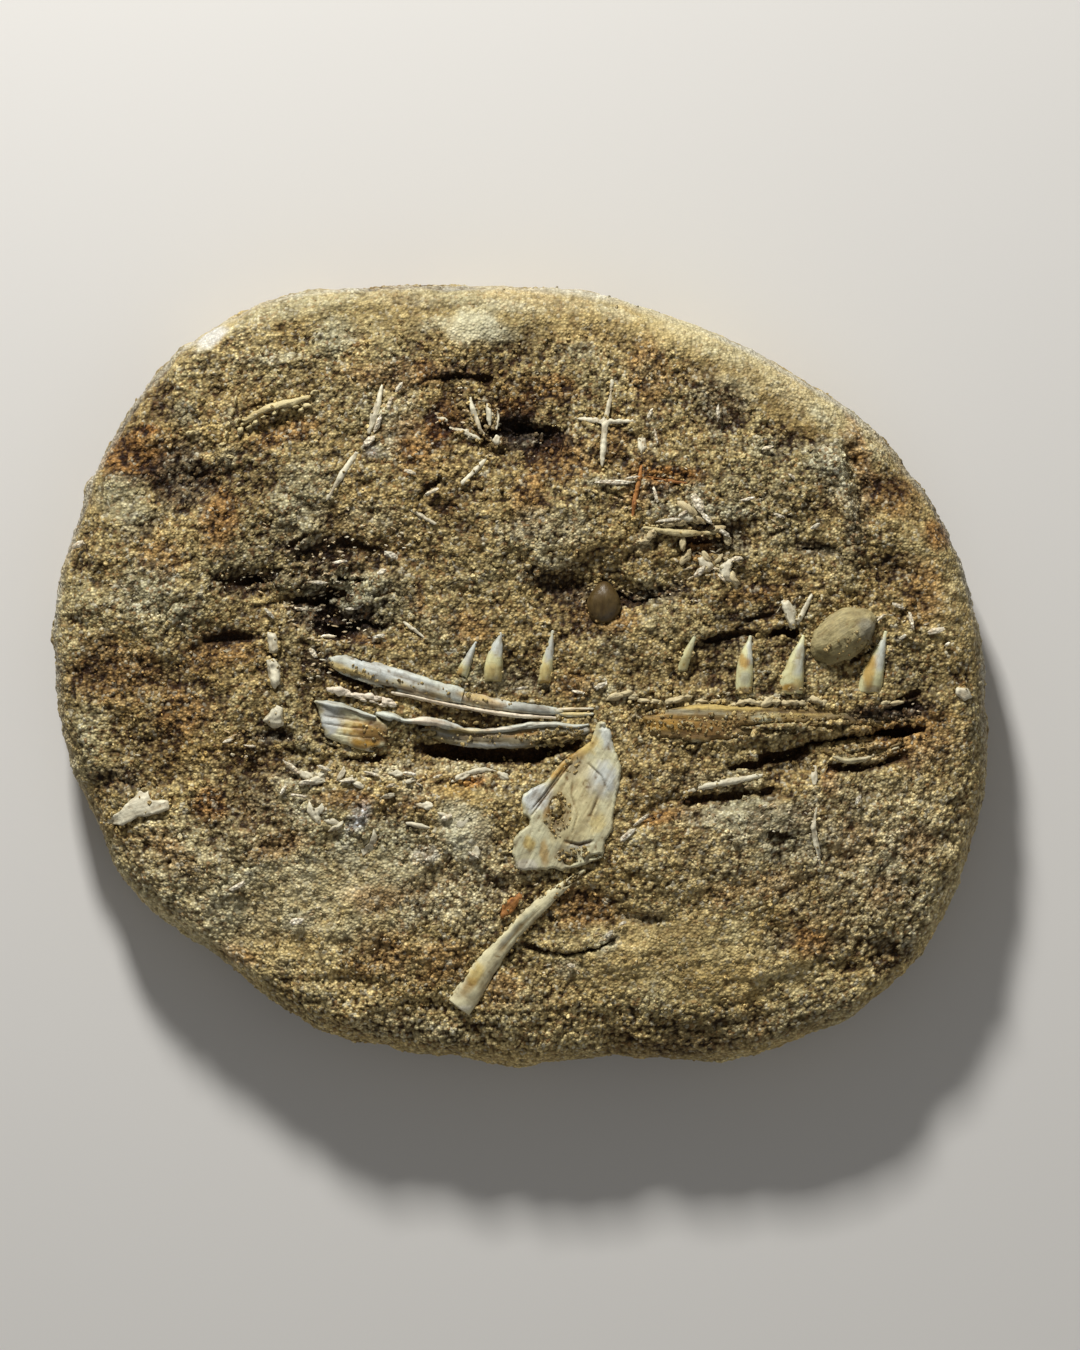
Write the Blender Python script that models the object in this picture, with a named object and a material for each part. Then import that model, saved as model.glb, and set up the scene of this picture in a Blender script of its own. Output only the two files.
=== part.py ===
"""A fossil fish jaw in its slab of cemented phosphate sand.

The slab lies on its flat back. +X is to the right and +Y is up as the face is looked at, and +Z
comes out of the face. The origin is on the back, at the middle of the slab. Tables are in
millimetres and every bone sits half sunk in a socket of its own shape in the sand.
"""

import math

import bmesh
import bpy
import numpy as np
from mathutils import Vector
from mathutils.bvhtree import BVHTree

MM = 0.001
GAP = 0.3

# The slab's outline, anticlockwise from the right
OUTLINE = [
    (118.6, 0.0), (115.7, 20.4), (109.2, 39.7), (90.3, 63.2), (66.5, 79.3), (42.3, 90.6),
    (17.3, 98.0), (-8.7, 99.7), (-36.4, 99.9), (-66.6, 95.1), (-93.3, 78.3), (-110.0, 51.3),
    (-119.0, 21.1), (-119.4, 0.0), (-116.0, -20.5), (-104.2, -48.6), (-98.4, -56.8),
    (-82.5, -69.3), (-60.2, -86.0), (-34.9, -95.8), (-8.7, -99.1), (0.0, -100.1), (17.4, -99.0),
    (26.3, -98.2), (40.5, -99.9), (66.9, -95.5), (95.7, -80.3), (113.1, -52.7), (119.7, -21.0),
]
# How far each row of the side stands in from the outline, and its height above the back
SIDE_ROWS = [(9.0, 0.0), (2.8, 3.5), (0.0, 13.0), (1.0, 20.5)]
# Slow swells of the side: how many go round, how far each is turned, and how deep it is
SIDE_SWELLS = [(3, 0.6, 0.9), (5, 2.1, 0.7), (8, 4.0, 0.5)]
SWELL_SHARE = 0.3
FACE_INSET = 4.2
RIM_HEIGHT = 25.0
CROWN = 7.5
CROWN_FALL = 2.6
FACE_CELLS = 30
OUTLINE_SAMPLES = 1440

# Lumps (up) and hollows (down) of the face: x, y, half length, half width, turn in degrees, height
RELIEF = [
    (-13.5, 87.0, 13, 7, 0, 2.4), (-15.5, 75.0, 10, 4, 0, -2.4), (2.0, 59.0, 10, 8, -20, -4.0),
    (-84.0, 51.5, 17, 7, -35, -3.6), (-98.0, 43.0, 10, 6, 30, 1.6), (-69.2, 24.0, 14, 7, -8, -3.2),
    (-44.0, 22.0, 19, 13, 0, -4.6), (-41.0, 24.5, 8, 5, 0, 2.0), (-79.5, 9.0, 10, 6, 0, -2.2),
    (24.0, 22.0, 24, 7, 0, -4.2), (52.4, 9.0, 16, 5, 31, -2.0), (47.0, 32.0, 7, 5, 0, -2.4),
    (-95.0, 19.0, 18, 10, 0, 1.8), (75.4, 31.5, 8, 5, -20, -1.8), (96.0, 26.5, 13, 6, -15, -2.4),
    (84.0, 54.0, 15, 12, -40, 2.4), (97.5, 45.0, 15, 6, -62, -2.0), (10.0, 45.0, 60, 14, 0, 1.6),
    (0.0, -6.0, 85, 20, 0, -2.4), (-13.0, -21.0, 26, 5, -2, -3.4), (-24.5, -33.0, 20, 8, 0, 1.4),
    (-63.6, -17.5, 8, 5, 0, -2.6), (86.0, -19.5, 24, 6, 9, -2.8), (43.4, -32.5, 24, 4, 13, -1.6),
    (61.3, -38.0, 34, 7, 12, 1.8), (98.0, -55.3, 20, 5, 42, -1.8), (105.0, -45.0, 16, 5, 52, 1.4),
    (25.5, -60.0, 15, 5, -5, -1.8), (15.2, -73.5, 14, 4, 0, 1.4), (-94.0, -27.0, 12, 5, -10, -1.8),
    (-66.0, -3.0, 11, 16, 0, -2.0), (-64.0, 71.0, 20, 5, 18, 1.4), (-60.0, 62.5, 9, 4, 10, -1.6),
    (-80.0, -50.0, 22, 6, 38, 1.6), (-62.0, -62.0, 24, 5, 38, -1.4), (0.0, -86.0, 34, 5, 8, 1.2),
    (66.0, -72.0, 36, 6, 28, 1.4), (60.0, -86.0, 30, 5, 24, -1.4), (82.0, 9.0, 14, 9, 30, -1.4),
]

# Jaw bones, from left to right: x, y and width of each section, or the outline of the flare
UPPER_JAW = [
    (-48.6, 3.8, 2.2), (-46.0, 3.1, 4.2), (-38.5, 0.7, 5.5), (-31.1, -1.8, 5.6),
    (-20.6, -4.7, 4.6), (-9.9, -7.1, 3.6), (2.9, -9.0, 2.7), (12.0, -9.9, 2.0), (18.2, -10.3, 1.0),
]
UPPER_JAW_RIDGE = [
    (-33.0, -4.6, 0.9), (-25.7, -6.0, 1.2), (-15.0, -8.5, 1.2), (-4.2, -10.0, 1.1), (6.0, -10.7, 0.8),
]
LOWER_JAW_RIDGE = [
    (-53.0, -7.4, 1.3), (-44.7, -8.9, 2.2), (-37.0, -11.2, 2.6), (-28.0, -12.1, 2.2),
    (-18.6, -12.8, 2.2), (-7.8, -14.4, 1.9), (6.5, -13.9, 1.8), (17.2, -13.5, 0.9),
]
LOWER_JAW_BLADE = [
    (-24.5, -14.9, 2.0), (-14.0, -16.0, 3.8), (-3.0, -16.6, 4.0), (6.0, -16.4, 4.0),
    (13.0, -15.7, 3.2), (16.6, -14.8, 1.6),
]
LOWER_JAW_FLARE = [
    (-53.4, -6.9), (-45.0, -8.2), (-38.0, -10.5), (-34.0, -12.4), (-33.4, -14.2), (-34.2, -18.4),
    (-37.2, -20.0), (-40.9, -20.2), (-43.1, -18.8), (-49.5, -16.4), (-50.8, -11.5),
]
FRONT_BONE = [
    (27.5, -13.0, 2.6), (35.0, -12.8, 6.6), (45.0, -13.8, 10.4), (53.0, -13.4, 9.8),
    (62.0, -12.9, 8.8), (72.0, -12.2, 7.8), (81.0, -12.2, 5.6), (92.0, -12.4, 2.4),
    (101.0, -12.0, 1.0),
]
EDGE_SPLINTER = [
    (77.5, -19.2, 1.4), (81.5, -20.0, 3.4), (86.0, -20.0, 4.6), (91.0, -19.0, 3.2), (97.5, -17.6, 1.2),
]

# Teeth from root to tip: x, y and width of each section
TEETH = [
    [(-15.0, -0.9, 2.4), (-14.3, 1.4, 3.0), (-13.1, 4.2, 2.2), (-12.0, 6.6, 1.1), (-11.4, 7.9, 0.3)],
    [(-6.9, -2.2, 3.0), (-6.9, -0.8, 4.2), (-6.8, 1.6, 5.0), (-6.3, 5.0, 3.7), (-5.7, 8.0, 1.8),
     (-5.2, 10.1, 0.3)],
    [(6.0, -2.3, 2.6), (6.3, 0.2, 3.5), (6.9, 3.4, 2.9), (7.6, 7.0, 1.6), (8.3, 10.7, 0.3)],
    [(41.2, 0.2, 2.2), (41.6, 2.8, 2.8), (42.7, 6.0, 2.1), (43.8, 8.3, 1.0), (44.3, 9.3, 0.3)],
    [(56.8, -5.1, 3.2), (57.1, -2.2, 4.2), (57.3, 1.0, 4.3), (57.7, 4.6, 3.2), (58.2, 7.4, 1.5),
     (58.5, 9.2, 0.3)],
    [(69.5, -5.2, 4.0), (69.2, -3.0, 5.6), (69.7, 0.6, 6.0), (70.6, 4.4, 4.2), (71.5, 7.4, 2.0),
     (72.1, 9.5, 0.3)],
    [(89.8, -5.3, 3.2), (89.3, -2.4, 5.6), (90.2, 1.0, 5.6), (91.5, 4.8, 3.9), (92.7, 8.2, 1.7),
     (93.3, 10.6, 0.3)],
]

# Cracks and holes cut into the sand: name, depth over width, lift, sections as x, y and width
CUTS = [
    ("crack", 2.6, -0.6, [(74.6, -17.4, 0.6), (80.0, -16.7, 1.8), (88.0, -15.6, 2.0),
                          (95.0, -14.9, 1.4), (101.0, -14.4, 0.5)]),
    ("jaw_hole", 1.6, -0.6, [(62.4, -20.4, 0.8), (66.0, -20.2, 2.8), (71.6, -19.4, 1.4)]),
    ("undercut", 1.4, -0.8, [(-24.0, -18.4, 0.8), (-12.0, -19.4, 2.2), (2.0, -20.0, 2.2),
                             (13.0, -18.6, 1.0)]),
    ("fork_hole", 1.5, -0.5, [(62.6, 10.9, 0.7), (65.5, 11.4, 2.0), (67.2, 11.0, 0.8)]),
    ("ray_pit", 0.9, -0.8, [(-3.6, 60.0, 2.2), (0.0, 60.2, 5.2), (4.6, 58.2, 3.4)]),
]

# The long tapering bone under the plate
BLADE_BONE = [
    (16.4, -49.9, 0.8), (11.4, -53.8, 2.3), (2.6, -61.3, 4.1), (-3.8, -68.3, 4.2),
    (-8.7, -74.5, 5.8), (-12.6, -80.5, 6.7), (-16.0, -84.9, 7.0),
]

# Thin bones, spines and slivers: name, material and sections as x, y and width
THIN_BONES = [
    ("crust_sliver", "cream", [(-49.4, -4.2, 0.9), (-46.5, -3.9, 1.5), (-40.5, -4.9, 1.6),
                               (-35.2, -6.6, 1.5), (-31.6, -7.9, 0.9)]),
    ("rib_lower", "cream", [(-49.6, 44.0, 0.9), (-45.7, 50.4, 1.8), (-41.6, 56.6, 1.4)]),
    ("rib_leaf", "cream", [(-38.8, 61.2, 1.0), (-37.5, 65.0, 2.5), (-36.2, 69.0, 2.0),
                           (-35.2, 73.8, 0.7)]),
    ("yellow_ridge", "ochre", [(-71.3, 63.5, 1.0), (-67.5, 66.5, 2.0), (-63.0, 68.3, 1.8),
                               (-58.0, 69.3, 2.2), (-53.6, 70.7, 1.4)]),
    ("fin_ray_1", "cream", [(-18.2, 63.0, 0.9), (-14.4, 61.8, 1.5), (-10.0, 59.6, 0.8)]),
    ("fin_ray_2", "cream", [(-12.9, 70.6, 0.7), (-12.0, 66.8, 1.4), (-10.3, 62.6, 1.3),
                            (-8.9, 60.9, 0.7)]),
    ("fin_ray_3", "cream", [(-8.6, 69.4, 0.8), (-8.0, 66.0, 1.3), (-7.7, 62.3, 0.7)]),
    ("fin_ray_4", "cream", [(-21.6, 65.4, 0.8), (-20.0, 65.0, 1.3), (-18.4, 64.5, 0.7)]),
    ("fin_ray_5", "cream", [(-5.8, 67.4, 0.7), (-5.8, 65.0, 1.2), (-6.2, 62.2, 0.7)]),
    ("ray_splinter", "cream", [(-15.0, 48.4, 1.0), (-12.0, 51.4, 1.5), (-8.6, 54.9, 0.9)]),
    ("rust_rib", "rust", [(30.9, 53.6, 0.8), (30.2, 49.0, 1.4), (29.2, 44.0, 1.7), (28.4, 39.4, 0.9)]),
    ("rust_branch", "rust", [(32.4, 50.3, 0.7), (37.0, 49.4, 1.2), (43.0, 48.5, 0.7)]),
    ("yellow_band", "ochre", [(31.2, 37.4, 0.8), (36.0, 36.4, 1.8), (43.0, 35.8, 2.0),
                              (51.0, 36.1, 0.9)]),
    ("fork_sliver", "cream", [(74.4, 20.5, 0.8), (72.6, 16.8, 1.6), (70.5, 12.8, 1.0)]),
    ("right_splinter", "cream", [(41.2, -30.4, 0.8), (46.0, -28.9, 1.5), (54.0, -27.3, 2.2),
                                 (62.0, -25.9, 1.0)]),
    ("upright_chip", "cream", [(75.2, -23.3, 1.2), (75.1, -25.6, 2.1), (74.9, -28.4, 1.0)]),
    ("upright_vein", "cream", [(75.4, -33.8, 0.8), (74.6, -39.0, 1.8), (75.6, -44.0, 1.6),
                               (76.4, -49.0, 0.8)]),
    ("thin_rib", "cream", [(-30.0, 13.5, 0.9), (-27.3, 11.4, 1.5), (-24.3, 9.1, 0.7)]),
    ("middle_splinter", "cream", [(-28.5, 42.2, 0.8), (-25.0, 40.2, 1.5), (-21.4, 38.1, 0.8)]),
    ("star_chip", "cream", [(-50.2, -37.4, 0.9), (-47.6, -37.6, 1.9), (-45.0, -38.8, 0.8)]),
    ("arc_flake", "cream", [(-17.8, -27.6, 0.7), (-13.6, -25.2, 1.5), (-9.0, -24.3, 1.5),
                            (-5.4, -25.0, 0.7)]),
    ("pink_sliver", "cream", [(-29.2, -37.9, 0.8), (-26.0, -38.6, 1.8), (-22.4, -39.3, 0.8)]),
    ("jaw_crust_left", "ochre", [(28.0, -7.4, 1.0), (36.0, -6.6, 2.0), (46.0, -7.0, 1.4),
                                 (52.0, -6.9, 0.8)]),
    ("jaw_crust_right", "ochre", [(61.0, -7.2, 1.2), (66.0, -6.9, 1.6), (73.0, -6.6, 1.6),
                                  (78.0, -6.9, 1.0)]),
]

# Flat chips and plates: name, material, thickness shown, taper of the top, outline
FLAT_BONES = [
    ("plate_bone", "jaw", 1.5, 0.93, [
        (20.9, -11.8), (22.9, -13.6), (23.4, -17.4), (25.7, -23.6), (25.0, -29.4), (23.4, -33.8),
        (23.2, -39.4), (21.5, -43.6), (21.4, -46.6), (17.6, -47.2), (10.1, -50.2), (6.3, -49.2),
        (-0.9, -50.1), (-1.7, -47.1), (-1.0, -41.0), (0.6, -36.0), (0.4, -30.5), (4.0, -28.4),
        (7.8, -27.1), (8.6, -24.3), (13.2, -20.5), (18.3, -17.4), (19.5, -14.0)]),
    ("blade_chip", "rust", 0.9, 0.75, [
        (-5.2, -62.4), (-4.6, -58.6), (-0.2, -55.7), (0.4, -56.9), (-2.4, -61.2)]),
    ("branched_flake", "cream", 1.3, 0.85, [
        (-107.6, -38.3), (-102.0, -34.8), (-97.6, -29.9), (-94.9, -29.6), (-94.2, -32.0),
        (-89.8, -32.4), (-89.6, -34.4), (-93.3, -36.1), (-97.7, -36.5), (-102.0, -38.8)]),
    ("left_bone_top", "cream", 1.3, 0.7, [
        (-64.6, 10.7), (-62.2, 10.5), (-61.6, 6.2), (-62.6, 4.9), (-64.2, 5.3)]),
    ("left_bone_middle", "cream", 1.7, 0.65, [
        (-64.9, 3.6), (-63.0, 3.9), (-61.2, 1.8), (-61.5, -2.2), (-62.8, -4.0), (-64.0, -1.6)]),
    ("left_bone_low", "cream", 2.0, 0.7, [
        (-62.4, -7.8), (-60.8, -8.6), (-60.4, -13.2), (-63.1, -13.8), (-66.0, -11.9)]),
    ("star_flake", "cream", 1.2, 0.7, [
        (-53.8, -31.8), (-52.6, -34.2), (-50.4, -33.4), (-51.2, -36.0), (-50.6, -38.6),
        (-53.4, -37.0), (-54.6, -34.8)]),
    ("arrow_chip", "cream", 1.1, 0.7, [
        (-37.4, -39.0), (-38.6, -43.0), (-40.6, -44.6), (-40.2, -46.5), (-37.8, -45.4),
        (-36.2, -41.4)]),
    ("ray_hub", "cream", 1.2, 0.7, [
        (-7.4, 59.6), (-6.2, 61.2), (-4.9, 60.4), (-5.2, 58.6), (-6.6, 58.2)]),
    ("white_bead", "cream", 1.2, 0.6, [
        (30.0, 60.3), (31.9, 60.2), (32.2, 57.6), (30.9, 55.6), (29.8, 57.8)]),
    ("pale_flake_1", "cream", 1.1, 0.7, [
        (45.0, 29.8), (47.6, 30.2), (49.4, 27.6), (48.0, 25.8), (45.8, 27.2)]),
    ("pale_flake_2", "cream", 1.2, 0.7, [
        (50.4, 27.4), (54.4, 29.8), (53.4, 26.0), (54.2, 23.0), (51.2, 24.4)]),
    ("pale_flake_3", "cream", 1.0, 0.7, [
        (39.6, 40.6), (43.4, 41.4), (44.6, 39.2), (41.6, 38.2)]),
    ("fork_crust", "cream", 1.4, 0.75, [
        (66.4, 18.6), (68.4, 18.9), (70.6, 15.6), (70.0, 11.6), (68.6, 11.9), (67.6, 14.6)]),
    ("edge_chip", "cream", 1.1, 0.7, [
        (111.4, -3.4), (114.2, -3.7), (115.6, -5.8), (113.6, -6.9), (111.0, -5.4)]),
]

# Pebbles: name, material, middle, half length, half width, half height, turn in degrees, lift
PEBBLES = [
    ("oval_pebble", "pebble", (82.3, 9.9), 9.6, 6.2, 5.6, 33, 0.4),
    ("brown_pebble", "dark_pebble", (21.4, 18.6), 5.6, 4.6, 3.2, 88, 0.2),
]

# Two ribs that lie across each other and are stuck together
CROSS_UPRIGHT = [(23.4, 75.2, 0.8), (22.9, 70.0, 1.5), (21.7, 65.0, 1.8), (21.0, 58.0, 1.8),
                 (20.8, 52.6, 0.8)]
CROSS_BAR = [(14.4, 65.2, 0.8), (18.0, 64.8, 1.8), (24.0, 64.3, 1.7), (28.8, 64.6, 0.8)]

COLOURS = {
    "sand": ((0.42, 0.33, 0.19), 0.95),
    "jaw": ((0.62, 0.60, 0.52), 0.55),
    "brown_jaw": ((0.33, 0.24, 0.12), 0.7),
    "tooth": ((0.72, 0.70, 0.55), 0.3),
    "cream": ((0.74, 0.68, 0.52), 0.6),
    "ochre": ((0.58, 0.45, 0.20), 0.75),
    "rust": ((0.45, 0.20, 0.06), 0.8),
    "pebble": ((0.50, 0.42, 0.28), 0.5),
    "dark_pebble": ((0.22, 0.17, 0.09), 0.25),
}


def clear_scene():
    for thing in list(bpy.data.objects):
        bpy.data.objects.remove(thing, do_unlink=True)


def make_materials():
    made = {}
    for name, (colour, roughness) in COLOURS.items():
        material = bpy.data.materials.new(name)
        material.use_nodes = True
        shader = material.node_tree.nodes["Principled BSDF"]
        shader.inputs["Base Color"].default_value = (*colour, 1.0)
        shader.inputs["Roughness"].default_value = roughness
        made[name] = material
    return made


def place(name, mesh, material, smooth=True):
    """A named object from a bmesh, with its faces turned outwards."""
    bmesh.ops.recalc_face_normals(mesh, faces=mesh.faces)
    data = bpy.data.meshes.new(name)
    mesh.to_mesh(data)
    mesh.free()
    data.materials.append(material)
    if smooth:
        data.shade_smooth()
        data.set_sharp_from_angle(angle=math.radians(50))
    thing = bpy.data.objects.new(name, data)
    bpy.context.scene.collection.objects.link(thing)
    return thing


def catmull_rom(before, start, end, after, t):
    """A point on the smooth curve between two of its points."""
    return 0.5 * (
        2 * start
        + (end - before) * t
        + (2 * before - 5 * start + 4 * end - after) * t**2
        + (3 * start - before - 3 * end + after) * t**3
    )


def outline_radii():
    """The outline's radius at evenly spaced angles, from a smooth closed curve through its points."""
    points = [np.array(point) for point in OUTLINE]
    count = len(points)
    angles, radii = [], []
    for i in range(count):
        corners = [points[(i + step) % count] for step in (-1, 0, 1, 2)]
        for t in np.linspace(0.0, 1.0, 60, endpoint=False):
            x, y = catmull_rom(*corners, t)
            angles.append(math.atan2(y, x) % math.tau)
            radii.append(math.hypot(x, y))
    order = np.argsort(angles)
    even = np.linspace(0.0, math.tau, OUTLINE_SAMPLES, endpoint=False)
    return np.interp(even, np.array(angles)[order], np.array(radii)[order], period=math.tau)


def rim_radius(radii, angle):
    even = np.linspace(0.0, math.tau, OUTLINE_SAMPLES, endpoint=False)
    return float(np.interp(angle % math.tau, even, radii, period=math.tau))


def relief_at(x, y):
    """The sum of the lumps and hollows at a place on the face."""
    total = 0.0
    for cx, cy, half_length, half_width, turn, height in RELIEF:
        cosine, sine = math.cos(math.radians(turn)), math.sin(math.radians(turn))
        along = ((x - cx) * cosine + (y - cy) * sine) / half_length
        across = (-(x - cx) * sine + (y - cy) * cosine) / half_width
        total += height * math.exp(-(along**2) - across**2)
    return total


def slab_mesh(radii):
    """The slab: a grid stretched over the face, rows down the side and one flat back."""
    mesh = bmesh.new()
    n = FACE_CELLS
    grid = {}
    for i in range(n + 1):
        for j in range(n + 1):
            u, v = 2 * i / n - 1, 2 * j / n - 1
            disc_x, disc_y = u * math.sqrt(1 - v * v / 2), v * math.sqrt(1 - u * u / 2)
            share = min(1.0, math.hypot(disc_x, disc_y))
            angle = math.atan2(disc_y, disc_x)
            reach = share * (rim_radius(radii, angle) - FACE_INSET)
            x, y = reach * math.cos(angle), reach * math.sin(angle)
            z = RIM_HEIGHT + CROWN * (1 - share**CROWN_FALL)
            z += relief_at(x, y) * min(1.0, 4 * (1 - share))
            grid[i, j] = mesh.verts.new((x * MM, y * MM, z * MM))
    for i in range(n):
        for j in range(n):
            mesh.faces.new((grid[i, j], grid[i + 1, j], grid[i + 1, j + 1], grid[i, j + 1]))
    border = [grid[i, 0] for i in range(n)] + [grid[n, j] for j in range(n)]
    border += [grid[i, n] for i in range(n, 0, -1)] + [grid[0, j] for j in range(n, 0, -1)]
    above = border
    for inset, height in reversed(SIDE_ROWS):
        row = []
        for corner in border:
            angle = math.atan2(corner.co.y, corner.co.x)
            swell = sum(deep * math.sin(waves * angle + turn) for waves, turn, deep in SIDE_SWELLS)
            reach = rim_radius(radii, angle) - inset * (1 + SWELL_SHARE * swell)
            row.append(mesh.verts.new(
                (reach * math.cos(angle) * MM, reach * math.sin(angle) * MM, height * MM)))
        for k in range(len(row)):
            after = (k + 1) % len(row)
            mesh.faces.new((above[k], above[after], row[after], row[k]))
        above = row
    mesh.faces.new(above)
    bmesh.ops.recalc_face_normals(mesh, faces=mesh.faces)
    return mesh


class Face:
    """The slab's face, asked for its height at a place."""

    def __init__(self, mesh):
        self.tree = BVHTree.FromBMesh(mesh)

    def height(self, x, y):
        hit = self.tree.ray_cast(Vector((x * MM, y * MM, 1.0)), Vector((0.0, 0.0, -1.0)))
        return hit[0].z / MM


def side_vector(sections, i):
    """The unit vector across a row of sections, level with the back."""
    first, last = sections[max(i - 1, 0)], sections[min(i + 1, len(sections) - 1)]
    along = Vector((last[0] - first[0], last[1] - first[1])).normalized()
    return Vector((-along.y, along.x))


def rod_mesh(face, sections, depth, lift, sides, grow=0.0):
    """A rod of oval sections laid along the face. Depth is each section's height over its width."""
    mesh = bmesh.new()
    last = len(sections) - 1
    rings = []
    for i, (x, y, width) in enumerate(sections):
        across = side_vector(sections, i)
        along = Vector((across.y, -across.x))
        push = grow * ((i == last) - (i == 0))
        middle = Vector((x, y)) + along * push
        half_width = width / 2 + grow
        half_height = max(width * depth, 0.8 * min(1.0, width)) / 2 + grow
        z = face.height(x, y) + lift * min(1.0, width / 2)
        ring = []
        for k in range(sides):
            turn = math.tau * (k + 0.5) / sides
            flat = middle + across * half_width * math.cos(turn)
            ring.append(mesh.verts.new(
                (flat.x * MM, flat.y * MM, (z + half_height * math.sin(turn)) * MM)))
        rings.append(ring)
    for lower, upper in zip(rings, rings[1:]):
        for k in range(sides):
            after = (k + 1) % sides
            mesh.faces.new((lower[k], lower[after], upper[after], upper[k]))
    mesh.faces.new(rings[0])
    mesh.faces.new(rings[-1])
    return mesh


def flat_mesh(face, outline, thickness, taper, grow=0.0):
    """A flat chip: its outline pressed into the face, with a slightly smaller top."""
    mesh = bmesh.new()
    centre = sum((Vector(point) for point in outline), Vector((0.0, 0.0))) / len(outline)
    levels = [(1.0, -1.2 - grow), (1.0, 0.45 * thickness), (taper, thickness + grow)]
    heights = [face.height(x, y) for x, y in outline]
    rings = []
    for size, above in levels:
        ring = []
        for i, point in enumerate(outline):
            before, after = Vector(outline[i - 1]), Vector(outline[(i + 1) % len(outline)])
            edge = (after - before).normalized()
            outward = Vector((edge.y, -edge.x))
            if outward.dot(Vector(point) - centre) < 0:
                outward = -outward
            spot = centre + (Vector(point) - centre) * size + outward * grow
            ring.append(mesh.verts.new((spot.x * MM, spot.y * MM, (heights[i] + above) * MM)))
        rings.append(ring)
    for lower, upper in zip(rings, rings[1:]):
        for k in range(len(outline)):
            after = (k + 1) % len(outline)
            mesh.faces.new((lower[k], lower[after], upper[after], upper[k]))
    caps = [mesh.faces.new(rings[0]), mesh.faces.new(rings[-1])]
    bmesh.ops.triangulate(mesh, faces=caps)
    return mesh


def pebble_mesh(face, middle, half_sizes, turn, lift, grow=0.0):
    """A smooth oval pebble."""
    mesh = bmesh.new()
    bmesh.ops.create_uvsphere(mesh, u_segments=10, v_segments=6, radius=1.0)
    x, y = middle
    z = face.height(x, y) + lift
    cosine, sine = math.cos(math.radians(turn)), math.sin(math.radians(turn))
    half_length, half_width, half_height = (size + grow for size in half_sizes)
    for vert in mesh.verts:
        along, across = vert.co.x * half_length, vert.co.y * half_width
        vert.co = Vector((
            (x + along * cosine - across * sine) * MM,
            (y + along * sine + across * cosine) * MM,
            (z + vert.co.z * half_height) * MM,
        ))
    return mesh


def cut_socket(slab, name, mesh, material):
    """Cuts a socket in the slab with a slightly larger copy of the piece that sits in it."""
    cutter = place(name + "_socket", mesh, material, smooth=False)
    cutter.hide_render = True
    cutter.display_type = "WIRE"
    cut = slab.modifiers.new(name + "_socket", "BOOLEAN")
    cut.operation = "DIFFERENCE"
    cut.solver = "EXACT"
    cut.object = cutter


def join_shapes(piece, others):
    """Fuses shapes that overlap into one solid."""
    for other in others:
        other.hide_render = True
        other.display_type = "WIRE"
        join = piece.modifiers.new(other.name, "BOOLEAN")
        join.operation = "UNION"
        join.solver = "EXACT"
        join.object = other


def add_rod(slab, face, name, material, sections, depth, lift, sides):
    piece = place(name, rod_mesh(face, sections, depth, lift, sides), material)
    cut_socket(slab, name, rod_mesh(face, sections, depth, lift, sides, GAP), material)
    return piece


def add_flat(slab, face, name, material, outline, thickness, taper):
    piece = place(name, flat_mesh(face, outline, thickness, taper), material)
    cut_socket(slab, name, flat_mesh(face, outline, thickness, taper, GAP), material)
    return piece


def add_jaws(slab, face, materials):
    """The three long jaw bones and the strip below the crack."""
    bone, brown = materials["jaw"], materials["brown_jaw"]
    upper = add_rod(slab, face, "upper_jaw_bone", bone, UPPER_JAW, 0.75, 0.7, 8)
    upper_ridge = add_rod(slab, face, "upper_jaw_ridge", bone, UPPER_JAW_RIDGE, 1.9, 0.9, 6)
    join_shapes(upper, [upper_ridge])
    lower = add_rod(slab, face, "lower_jaw_bone", bone, LOWER_JAW_RIDGE, 1.7, 0.9, 8)
    blade = add_rod(slab, face, "lower_jaw_blade", brown, LOWER_JAW_BLADE, 0.8, 0.9, 8)
    flare = add_flat(slab, face, "lower_jaw_flare", bone, LOWER_JAW_FLARE, 2.0, 0.9)
    join_shapes(lower, [blade, flare])
    add_rod(slab, face, "jaw_front_bone", brown, FRONT_BONE, 0.42, 0.4, 10)
    add_rod(slab, face, "jaw_edge_splinter", brown, EDGE_SPLINTER, 0.7, 0.7, 8)


def add_teeth(slab, face, materials):
    for number, sections in enumerate(TEETH, start=1):
        add_rod(slab, face, f"tooth_{number}", materials["tooth"], sections, 0.75, 0.5, 8)


def add_small_bones(slab, face, materials):
    """The blade bone, the crossed ribs, the thin bones, the flat chips and the pebbles."""
    add_rod(slab, face, "blade_bone", materials["cream"], BLADE_BONE, 0.42, 0.5, 8)
    upright = add_rod(slab, face, "crossed_ribs", materials["cream"], CROSS_UPRIGHT, 1.0, 0.4, 6)
    bar = add_rod(slab, face, "crossed_bar", materials["cream"], CROSS_BAR, 1.0, 0.4, 6)
    join_shapes(upright, [bar])
    for name, colour, sections in THIN_BONES:
        add_rod(slab, face, name, materials[colour], sections, 0.95, 0.35, 6)
    for name, colour, thickness, taper, outline in FLAT_BONES:
        add_flat(slab, face, name, materials[colour], outline, thickness, taper)
    for name, colour, middle, half_length, half_width, half_height, turn, lift in PEBBLES:
        sizes = (half_length, half_width, half_height)
        place(name, pebble_mesh(face, middle, sizes, turn, lift), materials[colour])
        cut_socket(slab, name, pebble_mesh(face, middle, sizes, turn, lift, GAP), materials[colour])


def add_cuts(slab, face, material):
    for name, depth, lift, sections in CUTS:
        cut_socket(slab, name, rod_mesh(face, sections, depth, lift, 6), material)


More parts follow.
